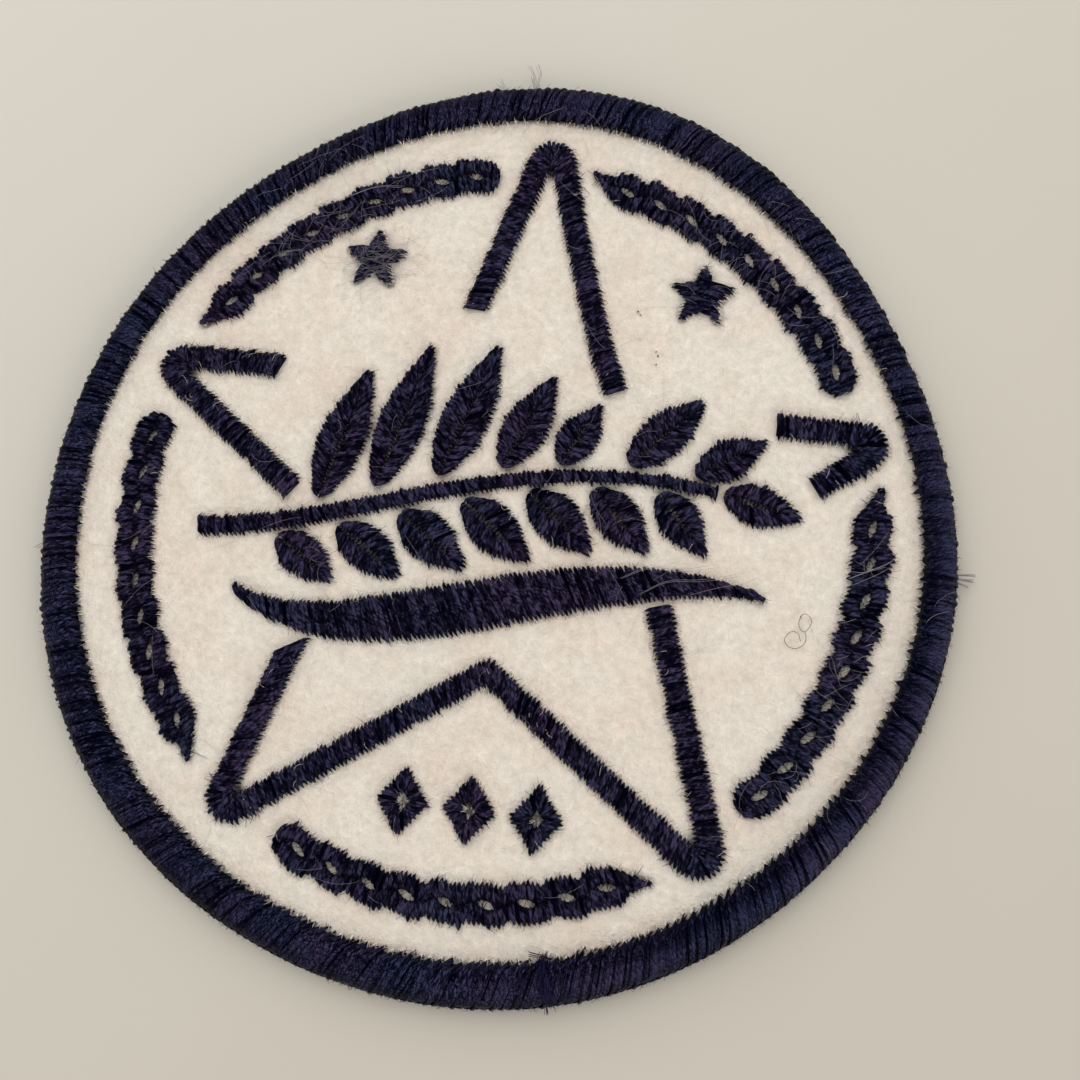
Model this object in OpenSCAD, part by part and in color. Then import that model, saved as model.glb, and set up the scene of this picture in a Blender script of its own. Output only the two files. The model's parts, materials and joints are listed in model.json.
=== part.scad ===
// Round embroidered patch: a felt disc in an overlocked border, with a star outline that is broken in
// the middle by a sprig of laurel and a wave, arcs of chain, two small stars and a row of lozenges.
// It lies on its back. The underside is at z = 0, +Y runs to the star's top point and +Z out of the face.

/* [Felt] */
// Width across the patch from edge to edge
patch_d = 76; // [72:1:84]
// Thickness of the felt
felt_t = 1.5; // [1.3:0.1:2]

/* [Border] */
// Width of the border's band seen from above
border_w = 3.15; // [2.8:0.05:3.8]
// Height of the border's crest above the felt
border_rise = 1.3; // [0.9:0.1:1.8]
// Depth of the border's thread outside the felt's rim
border_wrap = 1.2; // [0.8:0.1:1.6]
// Thickness of the felt's rim where the border pinches it
pinch_t = 0.6; // [0.4:0.1:0.8]
// Clearance between the border's thread and the felt
seam_gap = 0.1; // [0.05:0.05:0.15]

/* [Stitched design] */
// How far the middle of the design lies right of the middle of the felt
design_x = 0.6; // [0:0.1:1]
// How far the middle of the design lies above the middle of the felt
design_y = 0.3; // [0:0.1:1]
// Height of the stitching's crown above the felt
stitch_rise = 0.6; // [0.4:0.1:1.2]
// Width of the star outline's stroke
star_stroke = 2.1; // [1.7:0.1:2.5]
// Width across the points of a small star
small_star_d = 5.7; // [4.8:0.1:6.4]

/* [Chain] */
// Width of a link
chain_w = 3.4; // [3:0.1:3.8]
// Length of chain for each link
link_pitch = 3.1; // [2.8:0.1:3.6]
// Length of the slit in a link
slit_l = 1.5; // [1.1:0.1:1.9]
// Width of the slit in a link
slit_w = 0.6; // [0.4:0.1:0.8]
// Felt left bare between the border and the middle of the chain
chain_margin = 4.3; // [3.8:0.1:4.6]
// Length of a chain's pointed tip
chain_tip = 1.7; // [1:0.1:2.2]

/* [Sprig and wave] */
// Width of the widest leaf
leaf_w = 4.2; // [3.4:0.1:4.4]
// Width of the stem at its foot
stem_w = 1.7; // [1.2:0.1:2]
// Felt left bare between a leaf's foot and the stem
leaf_gap = 0.4; // [0.3:0.05:0.6]
// Width of the wave at its middle
wave_w = 4.3; // [3.6:0.1:4.8]

/* [Lozenges] */
// Width of a lozenge
lozenge_w = 4.5; // [3.8:0.1:4.8]
// Height of a lozenge
lozenge_h = 5.7; // [5:0.1:6.2]
// Width of a lozenge's stroke
lozenge_stroke = 1.3; // [0.9:0.05:1.4]
// Felt left bare between two lozenges
lozenge_gap = 0.9; // [0.6:0.1:1.4]

/* [Hidden] */
thread_navy = [0.09, 0.09, 0.19];
felt_ivory = [0.86, 0.82, 0.75];

patch_r = patch_d / 2;
// Radius of the bare felt, the measure that the design is drawn to
design_r = patch_r - border_w;
chain_r = design_r - chain_margin;
// Sections round the rim: one every 5 degrees
rim_sections = 72;

// The patch isn't a true circle. Each row is a regular swelling of its edges:
// swellings in a turn, height at the outer edge and at the border's inner edge as shares of the
// patch's radius, direction of one swelling in degrees
edge_swells = [
    [1, -0.003, 0.006, 53],
    [2, 0.010, 0.003, 80],
    [3, 0.015, 0.011, 86],
    [4, 0.006, 0.005, -8],
    [5, 0.005, 0.003, 3]
];
function swelling(turn, column) =
    patch_r * sum([for (row = edge_swells) row[column] * cos(row[0] * (turn - row[3]))]);
function outer_edge(turn) = patch_r + swelling(turn, 1);
function inner_edge(turn) = design_r + swelling(turn, 2);

// Plane geometry
function sum(list) = list * [for (i = list) 1];
function unit(v) = v / norm(v);
function left_of(v) = [-v[1], v[0]];
function heading(turn) = [cos(turn), sin(turn)];
function mix(a, b, share) = a + (b - a) * share;
function on_felt(share) = [design_x, design_y] + share * design_r;
function cubic(p, t) =
    p[0] * pow(1 - t, 3) + 3 * p[1] * t * pow(1 - t, 2) + 3 * p[2] * t * t * (1 - t) + p[3] * pow(t, 3);
function cubic_heading(p, t) =
    unit((p[1] - p[0]) * pow(1 - t, 2) + 2 * (p[2] - p[1]) * t * (1 - t) + (p[3] - p[2]) * t * t);

// Solid through loops of equal length, capped at its ends, or joined last to first. Looking along
// the row of loops from the first, each loop runs anticlockwise
module through_loops(loops, joined = false) {
    n = len(loops[0]);
    m = len(loops);
    sides = [
        for (j = [0 : joined ? m - 1 : m - 2], i = [0 : n - 1])
        let (k = (j + 1) % m, e = (i + 1) % n)
        each [[j * n + i, j * n + e, k * n + e], [j * n + i, k * n + e, k * n + i]]
    ];
    caps = joined ? [] : [[for (i = [n - 1 : -1 : 0]) i], [for (i = [0 : n - 1]) (m - 1) * n + i]];
    polyhedron([for (loop = loops) each loop], concat(sides, caps), convexity = 6);
}

// Cross profiles of satin stitching, from edge to edge: share of the width, share of the rise
stroke_profile = [[0, 0.35], [0.2, 0.88], [0.5, 1], [0.8, 0.88], [1, 0.35]];
// A leaf dips along its midrib
leaf_profile = [[0, 0.35], [0.26, 1], [0.5, 0.62], [0.74, 1], [1, 0.35]];

// A station is the left and the right point of a stroke, seen along it
function section(station, profile) = [
    for (p = station) [p[0], p[1], felt_t],
    for (i = [len(profile) - 1 : -1 : 0])
        let (p = mix(station[0], station[1], profile[i][0]))
        [p[0], p[1], felt_t + profile[i][1] * stitch_rise]
];
module satin(stations, profile = stroke_profile, joined = false)
    color(thread_navy)
    through_loops([for (s = stations) section(s, profile)], joined);

// Degrees that a stroke turns from one station to the next in a corner
corner_step = 30;
// How far stitches fill the inside of a rounded corner
corner_fill = 0.5;

// Stations of a stroke of half width h along a path whose rows are the place as shares of the
// design's radius, the roundness of the corner there, and the slant of the cut at an end in degrees
function end_station(p, along, slant, h) = [
    p + left_of(along) * h + along * h * tan(slant),
    p - left_of(along) * h - along * h * tan(slant)
];
function corner_stations(p, d1, d2, roundness, h) =
    let (
        bend = atan2(d1[0] * d2[1] - d1[1] * d2[0], d1 * d2),
        side = sign(bend),
        inward = unit(d2 - d1),
        reach = h / cos(bend / 2),
        inner = p + inward * (reach + roundness * corner_fill),
        centre = p + inward * reach * roundness,
        from = atan2(d1[1], d1[0]) - side * 90,
        steps = max(1, round(abs(bend) / corner_step))
    )
    [for (i = [0 : steps])
        let (outer = centre + h * (1 + roundness) * heading(from + bend * i / steps))
        side > 0 ? [inner, outer] : [outer, inner]];
function stroke_stations(path, h) =
    let (
        last = len(path) - 1,
        at = [for (row = path) on_felt([row[0], row[1]])],
        along = [for (i = [0 : last - 1]) unit(at[i + 1] - at[i])]
    )
    [
        end_station(at[0], along[0], path[0][3], h),
        for (i = [1 : 1 : last - 1]) each corner_stations(at[i], along[i - 1], along[i], path[i][2], h),
        end_station(at[last], along[last - 1], path[last][3], h)
    ];

// Star outline: x, y, roundness of the corner, slant of the cut
star_top_path = [
    [-0.117, 0.516, 0, -11], [0.018, 1.017, 1, 0], [0.112, 0.706, 0, 0],
    [0.190, 0.481, 0, 0], [0.248, 0.342, 0, 0]
];
star_left_path = [[-0.576, 0.326, 0, 22], [-0.914, 0.327, 1, 0], [-0.494, 0.024, 0, 0]];
star_right_path = [[0.633, 0.299, 0, 0], [0.922, 0.299, 1, 0], [0.735, 0.159, 0, 0]];
star_base_path = [
    [-0.431, -0.349, 0, -45], [-0.570, -0.793, 1, 0], [0.039, -0.354, 0, 0],
    [0.623, -0.770, 1, 0], [0.411, -0.156, 0, 0]
];
module star_top() satin(stroke_stations(star_top_path, star_stroke / 2));
module star_left() satin(stroke_stations(star_left_path, star_stroke / 2));
module star_right() satin(stroke_stations(star_right_path, star_stroke / 2));
module star_base() satin(stroke_stations(star_base_path, star_stroke / 2));

// Chain arcs: each runs clockwise between two directions in degrees, from its pointed tip to its
// blunt end
chain_upper_left_arc = [152.7, 97.1];
chain_upper_right_arc = [81.9, 26.7];
chain_right_arc = [11.2, -42.4];
chain_base_arc = [-58.7, -116.6];
chain_left_arc = [-134.4, -191.5];
// How far a chain's pointed tip leans outward, as a share of the tip's length
tip_lean = 0.6;
// How far a slit leans inward from its first end to its last, as a share of its length
slit_lean = 0.35;
// Width of a link where it meets the next, as a share of its full width
link_waist = 0.78;
// Half widths of a chain as shares of the full one: at its point, where the point meets the first
// link, beside the ends of a slit, and where the blunt end starts and stops
point_share = 0.1;
neck_share = 0.7;
shoulder_share = 0.95;
blunt_shares = [0.75, 0.35];
// Length of the blunt end as a share of the pointed tip's
blunt_l = 0.3;
// Heights as shares of the rise: outer edge, crest of a strand, valley between the strands
chain_heights = [0.35, 1, 0.5];
// Where a strand's crest lies between the band's edge and the slit, as a share
crest_place = 0.45;

// Stations of a chain: direction, how far the middle lies outside the ring, half width of the band,
// half width and lean of the slit, and whether a slit runs on from here
function chain_stations(arc) =
    let (
        turn_of = 180 / (PI * chain_r),
        clear_arc = abs(arc[0] - arc[1]) - (1 + blunt_l) * chain_tip * turn_of,
        links = max(1, round(clear_arc / (link_pitch * turn_of))),
        pitch = clear_arc / links,
        half = slit_l / 2 * turn_of,
        start = arc[0] - chain_tip * turn_of,
        edge = chain_w / 2,
        slit_end = slit_w / 4,
        lean = slit_l * slit_lean / 2
    )
    [
        [arc[0], chain_tip * tip_lean, edge * point_share, edge * point_share / 2, 0, false],
        for (i = [0 : links - 1])
            let (middle = start - (i + 0.5) * pitch, waist = edge * (i == 0 ? neck_share : link_waist))
            each [
                [middle + pitch / 2, 0, waist, slit_end, 0, false],
                [middle + half, 0, edge * shoulder_share, slit_end, lean, true],
                [middle, 0, edge, slit_w / 2, 0, true],
                [middle - half, 0, edge * shoulder_share, slit_end, -lean, false]
            ],
        [start - clear_arc, 0, edge * blunt_shares[0], slit_end, 0, false],
        [start - clear_arc - blunt_l * chain_tip * turn_of, 0, edge * blunt_shares[1], slit_end, 0, false]
    ];

// Ten points for each station: six across the top, then four across the underside
function chain_points(s) =
    let (
        crest = mix(s[2], s[3], crest_place),
        across = [s[2], crest, s[3] + s[4], s[4] - s[3], -crest, -s[2]],
        high = [chain_heights[0], chain_heights[1], chain_heights[2]],
        tall = concat(high, [high[2], high[1], high[0]]),
        under = [across[0], across[2], across[3], across[5]]
    )
    [
        for (i = [0 : 5]) chain_point(s, across[i], felt_t + tall[i] * stitch_rise),
        for (u = under) chain_point(s, u, felt_t)
    ];
function chain_point(s, across, z) =
    let (p = [design_x, design_y] + (chain_r + s[1] + across) * heading(s[0])) [p[0], p[1], z];
function quad(a, b, c, d) = [[a, b, c], [a, c, d]];

// A band of two strands, pierced by a slit in every link
module chain(arc) {
    stations = chain_stations(arc);
    last = len(stations) - 1;
    top_rows = [
        for (j = [0 : last - 1], i = [0 : 4])
        let (a = 10 * j + i, b = a + 10)
        if (i != 2 || !stations[j][5]) each quad(a, b, b + 1, a + 1)
    ];
    under_rows = [
        for (j = [0 : last - 1], i = [6 : 8])
        let (a = 10 * j + i, b = a + 10)
        if (i != 7 || !stations[j][5]) each quad(a, a + 1, b + 1, b)
    ];
    edges = [
        for (j = [0 : last - 1])
        let (a = 10 * j, b = a + 10)
        each concat(quad(a, a + 6, b + 6, b), quad(a + 5, b + 5, b + 9, a + 9))
    ];
    slit_sides = [
        for (j = [0 : last - 1])
        let (a = 10 * j, b = a + 10)
        if (stations[j][5]) each concat(quad(a + 2, b + 2, b + 7, a + 7), quad(a + 3, a + 8, b + 8, b + 3))
    ];
    slit_ends = [
        for (j = [1 : last - 1])
        let (a = 10 * j, opens = stations[j][5] && !stations[j - 1][5],
            shuts = !stations[j][5] && stations[j - 1][5])
        if (opens || shuts)
        each (opens ? quad(a + 2, a + 7, a + 8, a + 3) : quad(a + 2, a + 3, a + 8, a + 7))
    ];
    b = 10 * last;
    caps = [
        [0, 1, 2, 3, 4, 5, 9, 8, 7, 6],
        [b + 6, b + 7, b + 8, b + 9, b + 5, b + 4, b + 3, b + 2, b + 1, b]
    ];
    color(thread_navy)
    polyhedron([for (s = stations) each chain_points(s)],
        concat(top_rows, under_rows, edges, slit_sides, slit_ends, caps), convexity = 10);
}
module chain_upper_left() chain(chain_upper_left_arc);
module chain_upper_right() chain(chain_upper_right_arc);
module chain_right() chain(chain_right_arc);
module chain_base() chain(chain_base_arc);
module chain_left() chain(chain_left_arc);

// Small filled stars: place as shares of the design's radius
small_star_left_at = [-0.383, 0.620];
small_star_right_at = [0.424, 0.599];
// Radius of a small star's inner corners as a share of its points' radius
small_star_waist = 0.47;
// The pad's outline shrinks to this share of itself where it is full height
pad_top = 0.6;
module small_star(at) {
    outline = [
        for (i = [0 : 9])
        small_star_d / 2 * (i % 2 == 0 ? 1 : small_star_waist) * heading(90 - 36 * i)
    ];
    layers = [[1, 0], [1, 0.35], [pad_top, 1]];
    p = on_felt(at);
    color(thread_navy)
    translate([p[0], p[1], felt_t])
    through_loops([
        for (layer = layers)
        [for (v = outline) [v[0] * layer[0], v[1] * layer[0], layer[1] * stitch_rise]]
    ]);
}
module small_star_left() small_star(small_star_left_at);
module small_star_right() small_star(small_star_right_at);

// Sprig: the stem is a cubic curve through these places, from its foot to its tip
stem_curve = [for (p = [[-0.71, -0.09], [-0.34, -0.06], [0.03, 0.20], [0.515, 0.125]]) on_felt(p)];
stem_sections = 14;
// Width of the stem at its tip as a share of its foot's
stem_taper = 0.6;
function stem_half(t) = stem_w / 2 * (1 - (1 - stem_taper) * t);
module laurel_stem()
    satin([
        for (i = [0 : stem_sections])
        let (t = i / stem_sections)
        end_station(cubic(stem_curve, t), cubic_heading(stem_curve, t), 0, stem_half(t))
    ]);

// Leaves: place along the stem, side (1 above, -1 below), length as a share of the design's radius,
// lean from the stem's heading in degrees, width as a share of the widest leaf's
leaf_table = [
    [0.258, 1, 0.350, 60, 1],
    [0.170, -1, 0.180, 46, 0.88],
    [0.378, 1, 0.380, 59, 1],
    [0.295, -1, 0.205, 50, 0.92],
    [0.500, 1, 0.360, 56, 1],
    [0.420, -1, 0.215, 52, 0.96],
    [0.622, 1, 0.260, 54, 0.94],
    [0.545, -1, 0.220, 52, 0.96],
    [0.728, 1, 0.175, 54, 0.84],
    [0.670, -1, 0.215, 50, 0.94],
    [0.848, 1, 0.240, 46, 0.94],
    [0.790, -1, 0.205, 50, 0.90],
    [0.958, 1, 0.185, 38, 0.84],
    [0.905, -1, 0.185, 46, 0.86],
    [1.000, 1, 0.190, -4, 0.84]
];
// Leaf outline: share of its length, share of its half width
leaf_outline = [[0, 0.12], [0.12, 0.52], [0.28, 0.88], [0.45, 1], [0.65, 0.86], [0.84, 0.46], [1, 0.07]];
module leaf(number) {
    row = leaf_table[number - 1];
    stem_heading = cubic_heading(stem_curve, row[0]);
    turn = atan2(stem_heading[1], stem_heading[0]) + row[1] * row[3];
    // The leaf at the stem's tip starts beyond it, and the others start beside it
    beside = row[0] == 1 ? stem_heading * leaf_gap
        : left_of(stem_heading) * row[1] * (stem_half(row[0]) + leaf_gap);
    foot = cubic(stem_curve, row[0]) + beside;
    satin([
        for (o = leaf_outline)
        end_station(foot + heading(turn) * row[2] * design_r * o[0], heading(turn), 0,
            leaf_w / 2 * row[4] * o[1])
    ], leaf_profile);
}

// Wave: a cubic curve that narrows to a point at both ends
wave_curve = [for (p = [[-0.60, -0.225], [-0.28, -0.415], [0.18, -0.030], [0.65, -0.110]]) on_felt(p)];
wave_sections = 16;
// Width at the wave's points as a share of its middle
wave_point = 0.08;
module wave()
    satin([
        for (i = [0 : wave_sections])
        let (t = i / wave_sections, h = wave_w / 2 * mix(wave_point, 1, pow(sin(180 * t), 0.9)))
        end_station(cubic(wave_curve, t), cubic_heading(wave_curve, t), 0, h)
    ]);

// Row of lozenges: place of its middle as a share of the design's radius
lozenge_row_at = [0.042, -0.669];
lozenge_count = 3;
module lozenge(number) {
    middle = on_felt(lozenge_row_at)
        + [(number - (lozenge_count + 1) / 2) * (lozenge_w + lozenge_gap), 0];
    half = [lozenge_w, lozenge_h] / 2;
    // Half diagonals of the opening, whose sides lie a stroke's width inside the outline
    open_half = half * (1 - lozenge_stroke * norm(half) / (half[0] * half[1]));
    corners = [[1, 0], [0, 1], [-1, 0], [0, -1]];
    satin([
        for (c = corners)
        [middle + [c[0] * open_half[0], c[1] * open_half[1]], middle + [c[0] * half[0], c[1] * half[1]]]
    ], joined = true);
}

// Felt disc: full thickness inside the border, pinched to a thin rim where the border grips it
pinch_z = (felt_t - pinch_t) / 2;
module felt_outline(inner)
    polygon([
        for (i = [0 : rim_sections - 1])
        let (turn = 360 * i / rim_sections)
        ((inner ? inner_edge(turn) : outer_edge(turn) - border_wrap) - seam_gap) * heading(turn)
    ]);
module felt_ground()
    color(felt_ivory)
    union() {
        linear_extrude(felt_t) felt_outline(true);
        translate([0, 0, pinch_z]) linear_extrude(pinch_t) felt_outline(false);
    }

// Border: a roll of thread with a slot that the felt's rim sits in
jaw_low = pinch_z - seam_gap;
jaw_high = pinch_z + pinch_t + seam_gap;
// Crown of the roll: share of the band's width from its inner edge, share of the border's rise
border_crown = [[0, 0.30], [0.16, 0.78], [0.42, 1], [0.72, 0.80]];
// Outer wall of the roll: share of the band's width from its inner edge, share of its full height
border_wall = [[0.93, 0.66], [1, 0.38], [0.95, 0.12], [0.84, 0]];
function border_section(turn) =
    let (
        inner = inner_edge(turn),
        band = outer_edge(turn) - inner,
        slot = outer_edge(turn) - border_wrap,
        tall = felt_t + border_rise,
        profile = concat(
            [[inner, 0], [inner, jaw_low], [slot, jaw_low], [slot, jaw_high], [inner, jaw_high]],
            [for (c = border_crown) [inner + c[0] * band, felt_t + c[1] * border_rise]],
            [for (c = border_wall) [inner + c[0] * band, c[1] * tall]]
        )
    )
    [for (p = profile) [p[0] * cos(turn), p[0] * sin(turn), p[1]]];
module merrowed_border()
    color(thread_navy)
    through_loops([for (i = [0 : rim_sections - 1]) border_section(-360 * i / rim_sections)], joined = true);

leaf_names = [for (i = [1 : len(leaf_table)]) str("leaf_", i)];
lozenge_names = [for (i = [1 : lozenge_count]) str("lozenge_", i)];

felt_ground();
merrowed_border();
star_top();
star_left();
star_right();
star_base();
chain_upper_left();
chain_upper_right();
chain_right();
chain_base();
chain_left();
small_star_left();
small_star_right();
laurel_stem();
wave();
for (i = [1 : len(leaf_table)]) leaf(i);
for (i = [1 : lozenge_count]) lozenge(i);
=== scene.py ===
# A round embroidered patch, put together here in the order that it is made: the felt is cut, the design is
# stitched on it in navy thread, the rim is overlocked, and loose fibres and thread ends are left on it.
# Sizes are in millimetres in the patch's own frame: +Y to the star's top point, +Z out of the face.
import json
import math
import bpy
import numpy as np
from mathutils import Matrix, Vector, kdtree, noise

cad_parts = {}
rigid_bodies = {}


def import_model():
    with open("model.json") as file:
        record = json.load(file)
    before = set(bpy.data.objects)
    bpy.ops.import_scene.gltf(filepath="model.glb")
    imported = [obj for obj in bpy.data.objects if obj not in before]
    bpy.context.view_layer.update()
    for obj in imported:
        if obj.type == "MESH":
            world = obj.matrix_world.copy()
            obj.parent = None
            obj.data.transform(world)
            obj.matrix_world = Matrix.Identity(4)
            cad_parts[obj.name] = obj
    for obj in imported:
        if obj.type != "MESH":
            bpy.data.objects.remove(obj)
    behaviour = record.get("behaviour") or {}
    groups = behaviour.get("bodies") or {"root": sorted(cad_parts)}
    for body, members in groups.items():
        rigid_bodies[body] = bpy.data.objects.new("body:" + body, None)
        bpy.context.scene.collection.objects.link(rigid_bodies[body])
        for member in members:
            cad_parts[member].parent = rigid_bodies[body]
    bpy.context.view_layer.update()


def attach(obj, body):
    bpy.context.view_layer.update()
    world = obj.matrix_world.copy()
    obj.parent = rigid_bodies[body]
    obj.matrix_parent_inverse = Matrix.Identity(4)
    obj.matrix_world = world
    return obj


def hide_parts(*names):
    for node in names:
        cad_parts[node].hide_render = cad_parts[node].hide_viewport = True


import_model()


# Felt ground
# A disc of ivory wool felt, pressed 1.5 mm thick and die cut a little out of round. Its surface is a mat of
# fibres that lie every way, slightly mottled. Its rim is pinched thin where the border grips it.
felt_t = 1.5
patch_r = 38.0
design_r = 34.85
design_at = np.array([0.6, 0.3])
# how far the border's thread reaches outside the cut edge
border_wrap = 1.3
pinch_depth = 0.47
pinch_run = 0.9
# how far the back stands off the desk, with the bobbin thread under it
bobbin_room = 0.12
felt_cell = 0.44
# swellings in a turn, outer share, inner share, direction in degrees
edge_swells = [[1, -0.003, 0.006, 53], [2, 0.010, 0.003, 80], [3, 0.015, 0.011, 86], [4, 0.006, 0.005, -8],
               [5, 0.005, 0.003, 3]]
# how uneven the face is: waves in a millimetre, how fast finer waves fade, height, level in the noise
felt_waves = [(0.16, 0.8, 0.05, 3.1), (0.9, 0.9, 0.035, 8.4)]
dice = np.random.default_rng(7)


def swelling(turn, column):
    """How far an edge stands out of round in a direction."""
    return patch_r * sum(row[column] * np.cos(row[0] * (turn - math.radians(row[3]))) for row in edge_swells)


def outer_edge(turn):
    """Reach of the border's outside."""
    return patch_r + swelling(turn, 1)


def inner_edge(turn):
    """Reach of the border's inside, where its thread goes into the face."""
    return design_r + swelling(turn, 2)


def reach_of(place):
    """How far places lie from the middle."""
    return np.hypot(place[..., 0], place[..., 1])


def set_point_value(mesh, name, values):
    """Store a value for each point of a mesh, for its material to read."""
    stored = mesh.attributes.new(name, "FLOAT", "POINT")
    stored.data.foreach_set("value", np.asarray(values, dtype=np.float32))


def around(turn, reach, *height):
    """Points reach away from the middle in the directions turn, at a height where one is given."""
    return np.stack([reach * np.cos(turn), reach * np.sin(turn), *height], axis=-1)


def make_mesh(name, points, quads, material, run=None, dye=None):
    """A piece from points in millimetres and faces of three or four corners. run is a UV pair for each
    corner, dye a shade from 0 to 1 for each point."""
    mesh = bpy.data.meshes.new(name)
    corners = np.concatenate([np.asarray(q).reshape(-1) for q in quads])
    sizes = np.concatenate([np.full(len(q), np.asarray(q).shape[1]) for q in quads])
    mesh.vertices.add(len(points))
    mesh.vertices.foreach_set("co", (np.asarray(points) * 0.001).astype(np.float32).reshape(-1))
    mesh.loops.add(len(corners))
    mesh.loops.foreach_set("vertex_index", corners.astype(np.int32))
    mesh.polygons.add(len(sizes))
    mesh.polygons.foreach_set("loop_start", np.concatenate([[0], np.cumsum(sizes)[:-1]]).astype(np.int32))
    mesh.polygons.foreach_set("use_smooth", np.ones(len(sizes), dtype=bool))
    mesh.update(calc_edges=True)
    if run is not None:
        thread_run = mesh.uv_layers.new(name="thread_run")
        thread_run.data.foreach_set("uv", np.asarray(run, dtype=np.float32).reshape(-1))
    if dye is not None:
        set_point_value(mesh, "dye", dye)
    mesh.validate()
    mesh.materials.append(material)
    piece = bpy.data.objects.new(name, mesh)
    bpy.context.scene.collection.objects.link(piece)
    return piece


def new_material(name, roughness, gloss):
    """An empty finish: the material, its nodes and its shader."""
    material = bpy.data.materials.new(name)
    material.use_nodes = True
    shader = material.node_tree.nodes["Principled BSDF"]
    shader.inputs["Roughness"].default_value = roughness
    shader.inputs["Specular IOR Level"].default_value = gloss
    return material, material.node_tree, shader


def new_effect(name, inputs, outputs):
    """An empty shader node group, with the kind of each of its inputs and outputs by name."""
    effect = bpy.data.node_groups.new(name, "ShaderNodeTree")
    for in_out, sockets in (("INPUT", inputs), ("OUTPUT", outputs)):
        for label, kind in sockets.items():
            effect.interface.new_socket(label, in_out=in_out, socket_type="NodeSocket" + kind)
    return effect, effect.nodes.new("NodeGroupInput"), effect.nodes.new("NodeGroupOutput")


def use_effect(tree, effect, **values):
    """An effect placed in a material with the material's own values."""
    node = tree.nodes.new("ShaderNodeGroup")
    node.node_tree = effect
    for label, value in values.items():
        node.inputs[label].default_value = value
    return node


def feed(tree, socket, value):
    """Link another node's output to a socket, or set the socket to a constant."""
    if hasattr(value, "is_output"):
        tree.links.new(value, socket)
    else:
        socket.default_value = value


def math_node(tree, operation, *values, clamp=False):
    """The result of a sum on links or constants."""
    node = tree.nodes.new("ShaderNodeMath")
    node.operation = operation
    node.use_clamp = clamp
    for socket, value in zip(node.inputs, values):
        feed(tree, socket, value)
    return node.outputs[0]


def ramp(tree, value, gain, shift):
    """A value times a gain plus a shift, kept from 0 to 1."""
    return math_node(tree, "MULTIPLY_ADD", value, gain, shift, clamp=True)


def blend_node(tree, factor, first, second, blend="MIX"):
    """A colour from two, with the second one in it by a factor from 0 to 1."""
    node = tree.nodes.new("ShaderNodeMix")
    node.data_type = "RGBA"
    node.blend_type = blend
    for k, value in ((0, factor), (6, first), (7, second)):
        feed(tree, node.inputs[k], value)
    return node.outputs[2]


def noise_node(tree, place, scale, detail=2, roughness=0.6):
    """Soft noise from 0 to 1, with scale the number of its waves in a metre of place."""
    node = tree.nodes.new("ShaderNodeTexNoise")
    for label, value in (("Vector", place), ("Scale", scale), ("Detail", detail), ("Roughness", roughness)):
        feed(tree, node.inputs[label], value)
    return node.outputs["Fac"]


def stretch_node(tree, first, scale, shift):
    """A place or colour, times a scale for each axis, plus a shift."""
    node = tree.nodes.new("ShaderNodeVectorMath")
    node.operation = "MULTIPLY_ADD"
    for socket, value in zip(node.inputs, (first, scale, shift)):
        feed(tree, socket, value)
    return node.outputs[0]


def object_place(tree):
    """A place on the piece in its own frame, in metres."""
    return tree.nodes.new("ShaderNodeTexCoord").outputs["Object"]


def axes_of(tree, place):
    """The three coordinates of a place, each by itself."""
    node = tree.nodes.new("ShaderNodeSeparateXYZ")
    tree.links.new(place, node.inputs[0])
    return node.outputs


def point_value(tree, name):
    """A value that the mesh stores for each of its points."""
    node = tree.nodes.new("ShaderNodeAttribute")
    node.attribute_name = name
    return node.outputs["Fac"]


def add_relief(tree, shader, height, strength, depth):
    """Fine relief from a height from 0 to 1, with its depth in metres."""
    bump = tree.nodes.new("ShaderNodeBump")
    for label, value in (("Strength", strength), ("Distance", depth), ("Height", height)):
        feed(tree, bump.inputs[label], value)
    tree.links.new(bump.outputs["Normal"], shader.inputs["Normal"])


def wool_mottle():
    """Ivory wool: large soft patches of a warmer and a greener white."""
    effect, given, made = new_effect("wool mottle", {"Light": "Color", "Warm": "Color", "Dull": "Color"},
                                     {"Color": "Color"})
    place = object_place(effect)
    warm = ramp(effect, noise_node(effect, place, 170, 4, 0.6), 4.0, -1.55)
    dull = ramp(effect, noise_node(effect, place, 800, 3, 0.65), 3.6, -1.5)
    first = blend_node(effect, warm, given.outputs["Light"], given.outputs["Warm"])
    second = blend_node(effect, math_node(effect, "MULTIPLY", dull, 0.5), first, given.outputs["Dull"])
    effect.links.new(second, made.inputs["Color"])
    return effect


wool_mottle_effect = wool_mottle()


def matted_fibres(tree, place):
    """Noise drawn out along six headings, and bent a little: the highest of them shows at each place."""
    bend = tree.nodes.new("ShaderNodeTexNoise")
    bend.inputs["Scale"].default_value = 350
    bend.inputs["Detail"].default_value = 1
    tree.links.new(place, bend.inputs["Vector"])
    bent = stretch_node(tree, bend.outputs["Color"], (0.0011, 0.0011, 0), place)
    strands = None
    for turn in range(0, 180, 30):
        lay = tree.nodes.new("ShaderNodeMapping")
        lay.vector_type = "TEXTURE"
        lay.inputs["Rotation"].default_value = (0, 0, math.radians(turn + 11))
        lay.inputs["Location"].default_value = (0.01 * turn, 0, 0)
        lay.inputs["Scale"].default_value = (0.00135, 0.00013, 0.001)
        tree.links.new(bent, lay.inputs["Vector"])
        strand = noise_node(tree, lay.outputs["Vector"], 1.0)
        strands = strand if strands is None else math_node(tree, "MAXIMUM", strands, strand)
    return ramp(tree, strands, 3.2, -1.75)


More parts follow.
